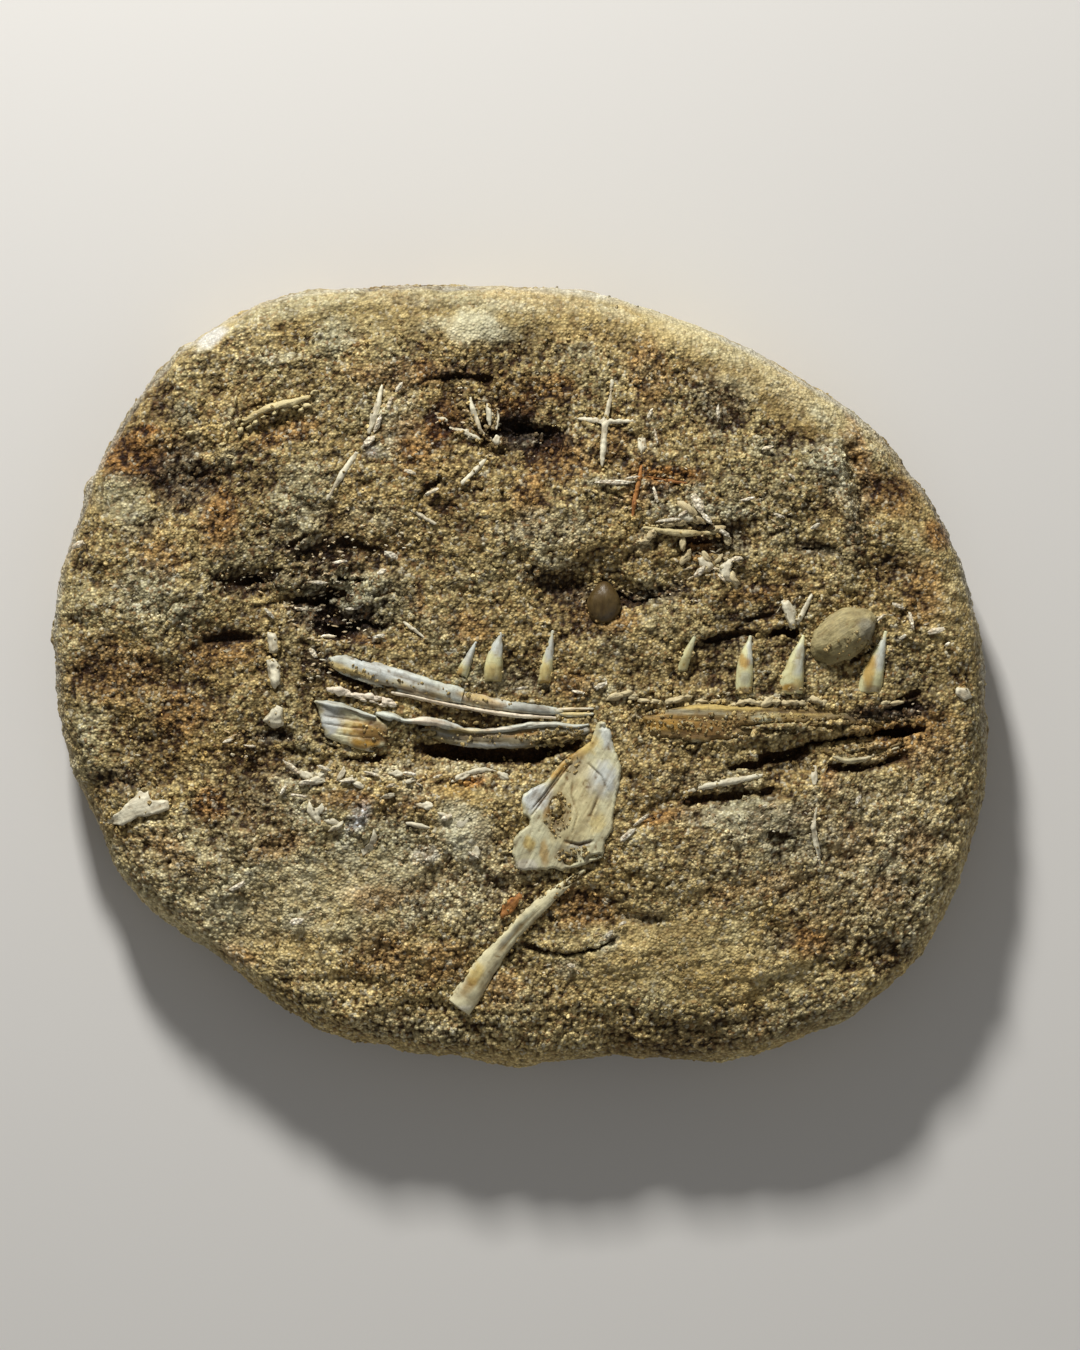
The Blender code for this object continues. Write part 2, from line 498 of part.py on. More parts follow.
def main():
    clear_scene()
    materials = make_materials()
    radii = outline_radii()
    mesh = slab_mesh(radii)
    face = Face(mesh)
    slab = place("matrix", mesh, materials["sand"])
    add_jaws(slab, face, materials)
    add_teeth(slab, face, materials)
    add_small_bones(slab, face, materials)
    add_cuts(slab, face, materials["sand"])


main()
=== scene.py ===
# %% [markdown]
# # A fossil jaw in a slab of sand
# The real object is a rounded slab of cemented sand with a long toothed jaw and many small bones
# in its face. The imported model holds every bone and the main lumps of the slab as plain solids.
# This lesson builds the finished look over that frame: the sand is rebuilt as a fine mesh with
# its grains, and each bone is rebuilt with its fibres, cracks and stains.
# All tables are in millimetres, because that is how such an object is measured by hand.

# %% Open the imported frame
import itertools
import math

import bmesh
import bpy
import numpy as np
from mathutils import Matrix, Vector
from mathutils.bvhtree import BVHTree


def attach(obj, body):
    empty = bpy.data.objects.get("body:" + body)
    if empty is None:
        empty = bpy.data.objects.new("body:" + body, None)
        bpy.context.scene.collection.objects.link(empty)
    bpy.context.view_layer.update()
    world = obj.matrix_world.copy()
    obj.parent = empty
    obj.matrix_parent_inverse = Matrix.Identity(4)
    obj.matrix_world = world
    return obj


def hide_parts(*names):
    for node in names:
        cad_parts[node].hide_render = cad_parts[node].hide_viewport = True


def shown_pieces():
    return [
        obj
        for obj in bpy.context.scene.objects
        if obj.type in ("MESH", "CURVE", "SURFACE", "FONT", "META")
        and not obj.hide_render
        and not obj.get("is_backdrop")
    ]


MM = 0.001   # the tables are in millimetres and the frame is in metres
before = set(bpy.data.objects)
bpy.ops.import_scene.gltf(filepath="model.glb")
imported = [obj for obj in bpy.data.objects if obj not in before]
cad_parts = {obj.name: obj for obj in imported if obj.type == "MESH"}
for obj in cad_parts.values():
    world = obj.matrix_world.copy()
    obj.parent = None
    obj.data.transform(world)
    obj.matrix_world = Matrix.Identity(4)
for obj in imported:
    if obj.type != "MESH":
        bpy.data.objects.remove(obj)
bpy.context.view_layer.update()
print("frame nodes:", len(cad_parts))

# %% [markdown]
# ## Chance that repeats itself
# Sand is random, but a finished part has to come out the same each time the script runs.
# A usual random generator gives numbers in order, so one more grain would change all the others.
# Here each small cell of space gets its own fixed random number from its place, which also
# lets the face, the side and the loose grains share one pattern.

# %% Fixed random numbers for cells of space
def chance(cells, seed):
    """A fixed random number from 0 to 1 for each whole-number cell."""
    i, j, k = (cells[..., axis].astype(np.int64) for axis in range(3))
    mixed = (i * 73856093) ^ (j * 19349663) ^ (k * 83492791) ^ (seed * 2654435761)
    mixed = ((mixed ^ (mixed >> 13)) * 1274126177) & 0xFFFFFFFF
    mixed = ((mixed ^ (mixed >> 16)) * 2246822519) & 0xFFFFFFFF
    return ((mixed ^ (mixed >> 15)) & 0xFFFFFF) / 0xFFFFFF


def eased(share):
    """A share from 0 to 1 that starts and ends gently."""
    return share * share * (3 - 2 * share)


def swells(points, size, seed, octaves=1):
    """Smooth random swells from -1 to 1, about size millimetres across."""
    total, whole = 0.0, 0.0
    for octave in range(octaves):
        scaled = points / (size * 0.5**octave)
        corner = np.floor(scaled)
        part = scaled - corner
        part = eased(part)
        value = 0.0
        for step in itertools.product((0, 1), repeat=3):
            share = np.prod(np.where(step, part, 1 - part), axis=-1)
            value = value + share * chance(corner + step, seed + octave)
        total = total + (2 * value - 1) * 0.55**octave
        whole += 0.55**octave
    return total / whole


def grains(points, size, seed):
    """Grains packed in space: the distance to the nearest grain's middle, and its tone."""
    scaled = points / size
    home = np.floor(scaled)
    nearest = np.full(len(points), 9.0)
    tone = np.zeros(len(points))
    for step in itertools.product((-1, 0, 1), repeat=3):
        cell = home + step
        away = np.zeros(len(points))
        for axis in range(3):
            middle = cell[:, axis] + 0.1 + 0.8 * chance(cell, seed + axis)
            away += (middle - scaled[:, axis]) ** 2
        away = np.sqrt(away)
        closer = away < nearest
        tone = np.where(closer, chance(cell, seed + 7), tone)
        nearest = np.minimum(nearest, away)
    return nearest, tone


print("five fixed chances:", chance(np.arange(15).reshape(5, 3), 1).round(2))

# %% [markdown]
# ## Turned ovals
# Nearly everything on the slab, from a stain to a flake, is placed as an oval that is turned on
# the face. Each could be an object with its own rotation, but there are thousands of points to
# turn. So the turning is written once here as plain geometry, and the tables that follow give
# an oval as its middle, half length, half width and turn in degrees.

# %% Turn places and measure ovals
def turned(x, y, degrees):
    """Places turned anticlockwise about the origin."""
    cosine, sine = np.cos(np.radians(degrees)), np.sin(np.radians(degrees))
    return x * cosine - y * sine, x * sine + y * cosine


def oval_distance(x, y, cx, cy, half_length, half_width, turn):
    """How far places lie from an oval's middle, where its edge is at 1."""
    along, across = turned(x - cx, y - cy, -turn)
    return np.hypot(along / half_length, across / half_width)


print("a long oval's tip is at", oval_distance(0.0, 4.0, 0.0, 0.0, 4.0, 1.0, 90).round(3))

# %% [markdown]
# ## Reading the slab's shape
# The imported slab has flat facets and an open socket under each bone. The fine sand has to
# follow its lumps and hollows, but run on under the bones, because in real rock the sand goes
# right up to them. One way is to repeat the slab's numbers. This lesson measures the solid
# instead, by dropping a ray on each point of a fine grid, as a touch probe would do. Points
# that land on a bone, or in a socket, are then filled in from the sand round them.

# %% Probe the face from above
STEP = 0.5
ABOVE = 99.0
DOWN = (0, 0, -1)
GRID_X = np.arange(-124.0, 124.01, STEP)
GRID_Y = np.arange(-105.0, 105.01, STEP)


def tree_of(things):
    """The meshes of some objects as one search tree, in millimetres."""
    points, faces = [], []
    for thing in things:
        data = thing.data
        start = len(points)
        points += [vert.co / MM for vert in data.vertices]
        faces += [[start + k for k in face.vertices] for face in data.polygons]
    return BVHTree.FromPolygons(points, faces)


def probe(tree, start, direction):
    hit = tree.ray_cast(Vector(start), Vector(direction))[0]
    return (math.nan,) * 3 if hit is None else tuple(hit)


def heights(tree):
    """The height of what lies under each point of the grid."""
    return np.array([[probe(tree, (x, y, ABOVE), DOWN)[2] for x in GRID_X] for y in GRID_Y])


slab_tree = tree_of([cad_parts["matrix"]])
bone_tree = tree_of([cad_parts[name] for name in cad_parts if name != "matrix"])
slab_height = heights(slab_tree)
bone_height = heights(bone_tree)
print("probed", slab_height.size, "points, highest", round(float(np.nanmax(slab_height)), 2), "mm")

# %% Fill in under the bones and smooth the facets
SOCKET_EDGE = 0.9
SOCKET_DEPTH = 0.9
FACET_BLUR = 2.0
COVER_BLUR = 0.35
RISE_BLUR = 0.8
RIM_HEIGHT = 24.4


def blur(field, reach):
    """The field with detail smaller than reach smoothed away."""
    across = np.fft.rfftfreq(field.shape[1], STEP)
    along = np.fft.fftfreq(field.shape[0], STEP)
    fade = np.exp(-2 * (math.pi * reach) ** 2 * (along[:, None] ** 2 + across[None, :] ** 2))
    return np.fft.irfft2(np.fft.rfft2(field) * fade, field.shape)


def fill_in(height, known):
    """Carries known heights into the unknown cells from what lies round them."""
    filled = np.where(known, height, 0.0)
    missing = ~known
    for reach in (0.7, 1.4, 3, 6, 12, 25, 50):
        weight = blur(known.astype(float), reach)
        reached = missing & (weight > 0.03)
        spread = blur(np.where(known, height, 0.0), reach) / np.maximum(weight, 1e-6)
        filled[reached] = spread[reached]
        missing &= ~reached
    return filled


on_bone = np.isfinite(bone_height)
known = np.isfinite(slab_height) & (slab_height > RIM_HEIGHT - 4)
known &= blur(on_bone.astype(float), SOCKET_EDGE) < 0.06
first = blur(fill_in(np.nan_to_num(slab_height), known), FACET_BLUR)
known &= slab_height > first - SOCKET_DEPTH
sand_base = blur(fill_in(np.nan_to_num(slab_height), known), FACET_BLUR)
bone_cover = blur(on_bone.astype(float), COVER_BLUR)
above_sand = np.clip(np.nan_to_num(bone_height) - sand_base, 0, 3)
bone_rise = blur(np.where(on_bone, above_sand, 0), RISE_BLUR)
print("cells under bones:", int(on_bone.sum()), "filled cells:", int((~known).sum()))


def read(field, x, y):
    """The field's value at places on the face."""
    column = np.clip((np.asarray(x) - GRID_X[0]) / STEP, 0, len(GRID_X) - 1.001)
    row = np.clip((np.asarray(y) - GRID_Y[0]) / STEP, 0, len(GRID_Y) - 1.001)
    c, r = column.astype(int), row.astype(int)
    p, q = column - c, row - r
    low = field[r, c] * (1 - p) + field[r, c + 1] * p
    high = field[r + 1, c] * (1 - p) + field[r + 1, c + 1] * p
    return low * (1 - q) + high * q

# %% [markdown]
# ## The slab's side
# The side is probed in the same way, with level rays that come in from all round at several
# heights. Smoothing the result along the outline and up the side takes the facets away.

# %% Probe the side from all round
TURNS = 720
LEVELS = 44
FAR_OUT = 200
PROBE_ANGLES = np.linspace(0.0, math.tau, TURNS, endpoint=False)
PROBE_HEIGHTS = np.linspace(0.15, RIM_HEIGHT, LEVELS)
OUTLINE_BLUR = 34


def side_distance(angle, z):
    away = (math.cos(angle), math.sin(angle), 0.0)
    start = (FAR_OUT * away[0], FAR_OUT * away[1], z)
    hit = probe(slab_tree, start, (-away[0], -away[1], 0.0))
    return math.hypot(hit[0], hit[1])


side_reach = np.array(
    [[side_distance(angle, z) for angle in PROBE_ANGLES] for z in PROBE_HEIGHTS])
ring_fade = np.exp(-0.5 * (np.fft.rfftfreq(TURNS) * OUTLINE_BLUR) ** 2)
side_reach = np.fft.irfft(np.fft.rfft(side_reach, axis=1) * ring_fade, TURNS, axis=1)
for _ in range(3):
    side_reach[1:-1] = (side_reach[:-2] + 2 * side_reach[1:-1] + side_reach[2:]) / 4
print("outline reach from", side_reach.max(0).min().round(1), "to", side_reach.max().round(1), "mm")


def reach_at(angle, z):
    """How far out the side lies at an angle and a height."""
    turn = (np.asarray(angle) % math.tau) / math.tau * TURNS
    a = np.floor(turn).astype(int)
    p = turn - a
    gap = PROBE_HEIGHTS[1] - PROBE_HEIGHTS[0]
    level = np.clip((z - PROBE_HEIGHTS[0]) / gap, 0, LEVELS - 1.001)
    b = np.floor(level).astype(int)
    q = level - b
    low = side_reach[b, a % TURNS] * (1 - p) + side_reach[b, (a + 1) % TURNS] * p
    high = side_reach[b + 1, a % TURNS] * (1 - p) + side_reach[b + 1, (a + 1) % TURNS] * p
    return low * (1 - q) + high * q

# %% [markdown]
# ## One net over the whole slab
# The face is a square grid pulled out to the slab's outline, and the side is rows of squares
# down from its edge. They are laid out as one net first, so that neighbouring parts share their
# edge points and no seam opens between them when the grains push the surface about. It is cut
# into pieces only at the end.

# %% Lay the net
FACE_CELLS = 470
SIDE_ROWS = 34
BACK_CELLS = 94
BORDER = 4 * FACE_CELLS


def grid_squares(index):
    """The squares between the points of a grid, from the grid of the points' numbers."""
    squares = np.stack([index[:-1, :-1], index[1:, :-1], index[1:, 1:], index[:-1, 1:]], axis=-1)
    return squares.reshape(-1, 4)


def disc_grid(cells):
    """A square grid pulled out to a disc: share of the reach, angle, squares and border."""
    edge = np.linspace(-1.0, 1.0, cells + 1)
    u, v = np.meshgrid(edge, edge, indexing="ij")
    disc_x, disc_y = u * np.sqrt(1 - v**2 / 2), v * np.sqrt(1 - u**2 / 2)
    index = np.arange((cells + 1) ** 2).reshape(cells + 1, cells + 1)
    border = np.concatenate([index[:-1, 0], index[-1, :-1], index[:0:-1, -1], index[0, :0:-1]])
    share = np.minimum(np.hypot(disc_x, disc_y), 1.0).ravel()
    return share, np.arctan2(disc_y, disc_x).ravel(), grid_squares(index), border


disc_share, disc_angle, face_quads, border = disc_grid(FACE_CELLS)
face_reach = disc_share * reach_at(disc_angle, RIM_HEIGHT)
face_x, face_y = face_reach * np.cos(disc_angle), face_reach * np.sin(disc_angle)
face_points = np.stack([face_x, face_y, read(sand_base, face_x, face_y)], axis=-1)
border_angle = disc_angle[border]

# Heights of the side's rows, evenly spaced along the side's own curve
fine_z = np.linspace(RIM_HEIGHT, PROBE_HEIGHTS[0], 400)
fine_r = np.interp(fine_z, PROBE_HEIGHTS, side_reach.mean(1))
path = np.concatenate([[0], np.cumsum(np.hypot(np.diff(fine_z), np.diff(fine_r)))])
row_z = np.interp(np.linspace(0, path[-1], SIDE_ROWS + 1), path, fine_z)

side_points = []
for j in range(1, SIDE_ROWS + 1):
    reach = reach_at(border_angle, row_z[j])
    lift = (face_points[border, 2] - RIM_HEIGHT) * max(0.0, 1 - j / 8)
    height = np.maximum(row_z[j] + lift, 0.0) if j < SIDE_ROWS else np.zeros(BORDER)
    side_points.append(
        np.stack([reach * np.cos(border_angle), reach * np.sin(border_angle), height], axis=-1))
rings = [border]
for j in range(SIDE_ROWS):
    rings.append(np.arange(BORDER) + len(face_points) + j * BORDER)
side_quads = np.concatenate([
    np.stack([upper, lower, np.roll(lower, -1), np.roll(upper, -1)], axis=-1)
    for upper, lower in zip(rings, rings[1:])])
net = np.concatenate([face_points, *side_points])
net_quads = np.concatenate([face_quads, side_quads])
print("net:", len(net), "points,", len(net_quads), "squares")

# %% [markdown]
# ## Ledges, grooves and pits
# Between the big lumps of the solid and the single grains lies a middle scale: small ledges
# where a layer broke, grooves left by the tools that freed the bones, and pits. They decide how
# the light breaks up across the face, so the ones that the eye finds are listed one by one, and
# only the filling between them is left to chance.

# %% Shapes of the middle scale
def along_line(x, y, line):
    """For places on the face: signed distance to a drawn line, and the share along it."""
    corners = np.array(line, float)
    steps = np.diff(corners, axis=0)
    lengths = np.hypot(steps[:, 0], steps[:, 1])
    starts = np.concatenate([[0], np.cumsum(lengths)])
    best = np.full(x.shape, 1e9)
    side = np.zeros(x.shape)
    share = np.zeros(x.shape)
    for corner, step, length, start in zip(corners, steps, lengths, starts):
        dx, dy = x - corner[0], y - corner[1]
        part = np.clip((dx * step[0] + dy * step[1]) / length**2, 0, 1)
        far = np.hypot(dx - part * step[0], dy - part * step[1])
        nearer = far < best
        turn = np.sign(step[0] * dy - step[1] * dx)
        best = np.where(nearer, far, best)
        side = np.where(nearer, turn * far, side)
        share = np.where(nearer, (start + part * length) / starts[-1], share)
    return side, share


def near(x, y, line, margin):
    """Which places lie in the box round a drawn line."""
    corners = np.array(line, float)
    low, high = corners[:, :2].min(0) - margin, corners[:, :2].max(0) + margin
    return (x > low[0]) & (x < high[0]) & (y > low[1]) & (y < high[1])


def add_lump(height, x, y, lump):
    cx, cy, half_length, half_width, turn, rise = lump
    spot = near(x, y, [(cx, cy)], 2.6 * max(half_length, half_width))
    far = oval_distance(x[spot], y[spot], cx, cy, half_length, half_width, turn)
    height[spot] += rise * np.exp(-(far**2))


def add_groove(height, x, y, groove):
    width, depth, line = groove
    spot = near(x, y, line, 2.5 * width)
    side, share = along_line(x[spot], y[spot], line)
    fade = np.clip(5 * np.minimum(share, 1 - share), 0, 1) ** 0.6
    height[spot] -= depth * fade * np.exp(-((side / (0.5 * width)) ** 4))


def add_ledge(height, x, y, ledge):
    """A step: the ground rises towards the left of the drawn line and falls to its right."""
    rise, reach, line = ledge
    spot = near(x, y, line, 2.5 * reach)
    side, share = along_line(x[spot], y[spot], line)
    fade = np.clip(4 * np.minimum(share, 1 - share), 0, 1)
    height[spot] += 0.5 * rise * fade * np.tanh(side / 0.45) * np.exp(-((side / reach) ** 2))


two_left = along_line(np.array([1.0]), np.array([2.0]), [(0, 0), (4, 0)])
print("a place 2 mm to the left of a line is at", two_left[0])

# %% Lumps and pits: x, y, half length, half width, turn in degrees, rise
LUMPS = [
    (54, 72, 8, 6, -20, 1.3), (-54, 20, 7, 2, 5, -1.2), (-41, 10.5, 7, 1.8, 0, -1.2),
    (-12, 88, 10, 4, 0, 0.9), (-15, 79, 7, 3, 0, -0.9), (-85, 48, 6, 5, 0, -1.8),
    (-88, 55.5, 7, 3, -10, -1.1), (-97, 37, 6, 3, 20, -1.1), (-62, 65, 6, 2.5, 8, -1.1),
    (1, 62, 8, 3, 0, -1.8), (4, 57, 7, 3, -15, -1.4), (-71, 24, 9, 3.5, 0, -1.5),
    (-75, 9, 7, 2, 0, -1.2), (-52, 17, 8, 5, 0, -2), (-40, 14, 9, 3, 0, -1.8), (-36, 20, 6, 3, 0, -0.8),
    (31, 21, 9, 2.4, 5, -1.8), (12, 22, 8, 3, 10, -1.2), (46, 32, 6, 1.8, 5, -1.4),
    (75, 31.5, 5, 1.6, -10, -1.3), (-62, -16.2, 5, 1.6, 0, -1.6), (-103, -27, 6, 3, 0, -1.1),
    (95, -70, 7, 4, 20, -1.4), (95, 27, 6, 4, 0, -1), (87, 46, 13, 2.6, 98, -2.8),
    (79.5, 55, 8, 2.8, 115, 2.2), (83.6, 42, 7, 2, 96, 2), (92, -54, 9, 3, 48, -1.2),
    (99, -50, 10, 2.4, 48, 0.9), (-75, 55, 3, 3.6, 0, 1.1), (-73, 65, 3, 3, 0, 0.8),
    (-65, 80.5, 10, 1.6, 3, 0.8), (-46, 84, 8, 2, 10, 0.7), (-13.5, -27.6, 5, 1.8, 5, -1),
    (-14, -41, 5, 5, 0, 0.7), (57, -36, 14, 3.5, 5, 0.7), (-57, -63, 5, 3.5, 20, 0.7),
    (-22, -46, 7, 2.5, 40, 0.7), (32, -62.5, 8, 2, -5, -1), (38, -33, 9, 1.6, 20, -0.9),
    (70, -50, 12, 4, 10, 0.5), (104, 3, 8, 1.6, 110, -0.8), (15, 73.5, 5, 2.5, 0, -0.8),
    (36, 68, 7, 2, 0, -0.6), (24, 47, 6, 1.4, 0, -0.9), (47, -90.5, 6, 1.2, 0, -0.9),
    (-45, -88, 8, 1.6, 15, 0.7), (-87, -57, 5, 1.4, 0, -0.7),
]
print("lumps and pits:", len(LUMPS))

# %% Grooves, holes and cracks: width, depth, line
GROOVES = [
    (2, 3.8, [(70, -19), (76, -17.2), (82, -16.3), (88, -15.6), (95, -14.8), (104, -14)]),
    (2.8, 3.4, [(60.5, -21.8), (65, -21), (69, -20), (74, -18.6)]),
    (1.4, 1.6, [(53, -24.2), (58, -23.2), (64, -21.6)]),
    (3, 3.2, [(-27, -19), (-14, -20.4), (0, -20.8), (8, -20.3), (16.5, -17.8)]),
    (2.4, 2.4, [(78, -23.6), (86, -24.2), (92, -23.2), (99, -20.8)]),
    (1.8, 2.6, [(63.6, 10.6), (67, 11.2), (70.4, 10.4)]),
    (1, 1.6, [(-0.5, -68.4), (4, -70.2), (12, -71.8), (20, -70), (25, -67)]),
    (1.2, 1.6, [(40, 33.9), (47, 34), (54, 34.2)]), (1.3, 1.7, [(-25, 75), (-16, 76.2), (-7.5, 75)]),
    (1, 1.2, [(29.5, 41.6), (34, 42), (38, 43.6)]), (0.9, 1, [(59, 61.5), (62, 60.4)]),
    (0.9, 1.2, [(-53.5, -16.5), (-47, -19)]), (1.4, 1.6, [(-46, -21.6), (-40, -22.2), (-34, -21)]),
    (1, 1.4, [(-51, 1.4), (-44, -0.8), (-36, -3.8)]), (1.2, 1.4, [(46, 8.4), (53, 9.9), (61, 10.6)]),
    (1, 1.2, [(57, 13.6), (64.5, 15.2)]), (1.2, 1.2, [(84, 2.6), (88.5, 5.4), (92.4, 9.4)]),
    (1, 1, [(39, -32.6), (52, -31.4), (66, -29.4)]), (0.9, 1, [(62.5, -40.6), (70.5, -41.8)]),
    (0.9, 1.2, [(-60, 31.6), (-54, 35.6)]), (1, 1.2, [(-47, 33.6), (-37, 31.8)]),
    (0.8, 0.9, [(-26, 45.6), (-20, 49.6)]),
    (2.2, 1.6, [(-59, 20.4), (-54, 17.8), (-48, 20.2), (-42, 18.4)]),
    (2, 1.6, [(-54, 12.8), (-47, 10.4), (-40, 13.2), (-33, 11.4)]),
    (1, 1.6, [(-47, 24.6), (-37, 23.4)]), (2, 1.3, [(-79, 24.8), (-74, 22.6), (-68, 24.4), (-61, 23)]),
    (1.2, 2, [(22, 20.6), (30, 18.2), (38, 20)]), (1.6, 1, [(-82, 8.6), (-74, 9.8), (-67, 8.6)]),
    (1, 1.6, [(-4, 63.4), (2, 62), (9, 62.6)]), (1, 1, [(71.5, 31.6), (80.5, 32.8)]),
    (1.3, 1.5, [(84.5, -11), (96, -8.8), (102, -7.6)]), (1, 1.2, [(90, -8), (97, -6.4), (103, -4.6)]),
]
print("grooves:", len(GROOVES))

# %% Ledges: rise to the left of the line, reach, line
LEDGES = [
    (1.6, 4, [(-25, 74.4), (-16, 75.8), (-7, 74.4)]), (1.4, 4, [(-60, 30), (-53, 34.6), (-49, 34)]),
    (1.4, 4, [(-48, 33.6), (-42, 34.2), (-35, 31)]), (1.1, 4, [(-29, 44.6), (-24, 47.2), (-18, 50.8)]),
    (1.6, 3, [(40, 33.6), (47, 33.8), (54, 34)]), (1.3, 4, [(70, 32), (76, 33.4), (82, 32)]),
    (1.2, 3, [(45, 9), (51, 10.4), (58, 10.2), (66, 11.4)]),
    (1.5, 3, [(40, -31.2), (52, -30.2), (60, -29), (68, -28.4)]),
    (1, 3, [(60, -39.4), (66, -41.2), (74, -40.2)]), (0.9, 3, [(18, 48.4), (28, 48.8)]),
    (0.9, 3, [(29, 47.2), (40, 47.4)]), (1, 3.5, [(-1, -68.4), (5, -70.6), (13, -72), (25, -67.2)]),
    (0.8, 3, [(26, -61.2), (38, -61.8)]), (0.7, 3, [(39, -55.8), (50, -55)]),
    (1.2, 3, [(-51, 81.4), (-60, 80.2), (-74, 80.2)]), (1, 4, [(-3, 91.4), (-12, 92.2), (-22, 90.4)]),
    (1, 3, [(-80, 18.6), (-88, 16.8), (-91, 12)]), (1, 3, [(88, 33), (82, 30.6)]),
    (0.9, 3, [(105, 12), (100, 15), (93, 17)]), (1.1, 4, [(-62, 24), (-50, 22), (-38, 25)]),
    (1.1, 3, [(-56, 14), (-46, 12), (-36, 12)]), (0.9, 3, [(-50, 26), (-41, 27.6), (-33, 26)]),
    (1, 4, [(-66, -19), (-60, -17.6), (-54, -19)]),
    (0.9, 3, [(-110, -24), (-103, -26.4), (-96, -28.6)]), (1, 5, [(-66, -48), (-80, -56.6)]),
    (0.9, 4, [(-40, -86), (-52, -88.4)]), (0.8, 4, [(-60, -79), (-48, -76.6), (-30, -79.4)]),
    (0.8, 4, [(-34, -84), (-22, -82), (-8, -86)]), (0.9, 5, [(50, -79), (66, -76.4), (84, -70.4)]),
    (0.8, 4, [(30, -88), (48, -89), (64, -86)]),
    (0.8, 4, [(84, -62), (92, -58), (98, -50), (104, -44)]),
]
print("ledges:", len(LEDGES))

# %% [markdown]
# ## Rough and smooth ground
# The brushed border of the slab is almost smooth, and the hollows above the jaw are broken and
# rough. One strength for the whole face would lose that, so ovals make the ground rougher or
# smoother, and all the finer relief is scaled by them.

# %% Ground rougher (above 1) or smoother: x, y, half length, half width, turn, factor
ROUGHNESS = [
    (0, 92, 70, 9, 0, 0.55), (60, 78, 40, 9, -33, 0.5), (104, 30, 26, 8, -68, 0.7),
    (-12, 88.5, 9, 4, 0, 0.25), (-79, 86.5, 7, 3, 35, 0.3), (-46, 20, 20, 12, 0, 1.9),
    (1, 60, 11, 6, 0, 1.6), (-85, 48, 9, 8, 0, 1.4), (-71, 23, 10, 5, 0, 1.5), (30, 21, 16, 5, 0, 1.5),
    (62, 45, 14, 8, 0, 1.3), (-60, -20, 14, 7, 0, 1.5), (-12, 66, 12, 8, 0, 1.4),
    (95, -70, 9, 6, 0, 1.4), (-14, -38, 7, 8, 0, 0.5), (-103, 44, 9, 6, 0, 0.7),
    (60, -36, 14, 5, 0, 0.7), (-20, -88, 60, 8, 0, 1.3), (-55, -60, 32, 14, 20, 0.6),
    (40, -72, 34, 12, 0, 0.6), (-53, 2, 5, 6, 0, 1.4),
]
ROUGH_SIZES = [(17, 0.85, 2), (6, 0.6, 2), (2.4, 0.22, 2)]
LAYER_RISE = 0.25
RAGGED_LAYER_RISE = 0.9


def shape_the_ground(points, rough):
    """The middle scale of the ground at points of the net, as a rise along the surface."""
    rise = np.zeros(len(points))
    for size, height, octaves in ROUGH_SIZES:
        rise += 2 * height * swells(points, size, int(7 * size), octaves)
    layers = swells(points * (0.28, 1.0, 1.0), 2.6, 91, 2)
    broken = 0.6 - 2.4 * np.abs(swells(points * (0.3, 1.0, 1.0), 3.4, 94, 2))
    ragged = np.clip(rough - 1.05, 0, 0.6)
    return rise + 2 * LAYER_RISE * layers + RAGGED_LAYER_RISE * ragged * broken


print("ground at the middle of a swell:", shape_the_ground(np.zeros((1, 3)), np.ones(1)).round(2))

# %% [markdown]
# ## Sand over the bones
# The bones aren't freed all the way: sand runs over their edges and ends. The bone could be cut
# there, but its cut edge would show. So the bone dips under the sand in these ovals, and the
# sand is heaped over it with a ragged border.

# %% Sand over a bone: x, y, half length, half width, turn, how high (1 is the bone's top)
SAND_OVER = [
    # front bone and strip
    (27.6, -12.8, 4.6, 4, 0, 0.6), (36, -17.6, 7, 1.5, -5, 0.8), (52, -18.2, 12, 1.6, 0, 0.8),
    (64, -16.2, 9, 2, 3, 0.8), (76, -14.6, 8, 1.6, 3, 0.8), (86, -13.8, 6, 0.9, 0, 0.8),
    (98, -13.4, 5, 1.2, 0, 0.8), (31, -9.6, 6, 1.1, 0, 0.8), (66, -13.4, 8, 0.9, 2, 0.9),
    (79, -12.4, 5, 0.8, 0, 0.9), (84.5, -18.9, 4.4, 1, -8, 1), (92, -18.2, 4.4, 0.8, 15, 1),
    # jaw bones on the left
    (9, -16.9, 6.4, 0.9, 10, 0.9), (-31.4, -15.6, 2.4, 3.2, 0, 0.8), (-49.4, 2.2, 1.2, 1.8, 0, 0.8),
    (-41, 4, 3, 0.5, -17, 0.9), (-20, -1.7, 3, 0.5, -15, 0.9), (-12, -4, 3.4, 0.5, -12, 0.9),
    (-44, 0, 3, 0.5, -17, 0.7), (-24, -15.2, 2.4, 0.7, 0, 0.8), (-35.6, -19.2, 2.6, 0.7, 0, 0.5),
    (-33, -3.6, 2.6, 0.4, -17, 0.7), (2, -7.2, 2.4, 0.35, -8, 0.9),
    # roots of the teeth
    (-15.5, -1.5, 1.6, 1.1, 0, 0.6), (-7, -3, 2.6, 1, 0, 0.6), (6, -3.1, 2, 1, 0, 0.6),
    (41.2, -0.3, 1.6, 1, 0, 0.6), (57, -5.5, 2.5, 0.8, 0, 0.6), (69.1, -5.7, 3.2, 0.8, 0, 0.6),
    (89, -5.8, 3.2, 0.9, 0, 0.6),
    # plate and blade
    (9, -34, 1.6, 2.6, -8, 0.35), (12.8, -47.4, 1.6, 1, 10, 0.4), (19, -46.4, 1.6, 0.6, 14, 0.5),
    (13.6, -52, 2.6, 0.6, 42, 0.7),
]


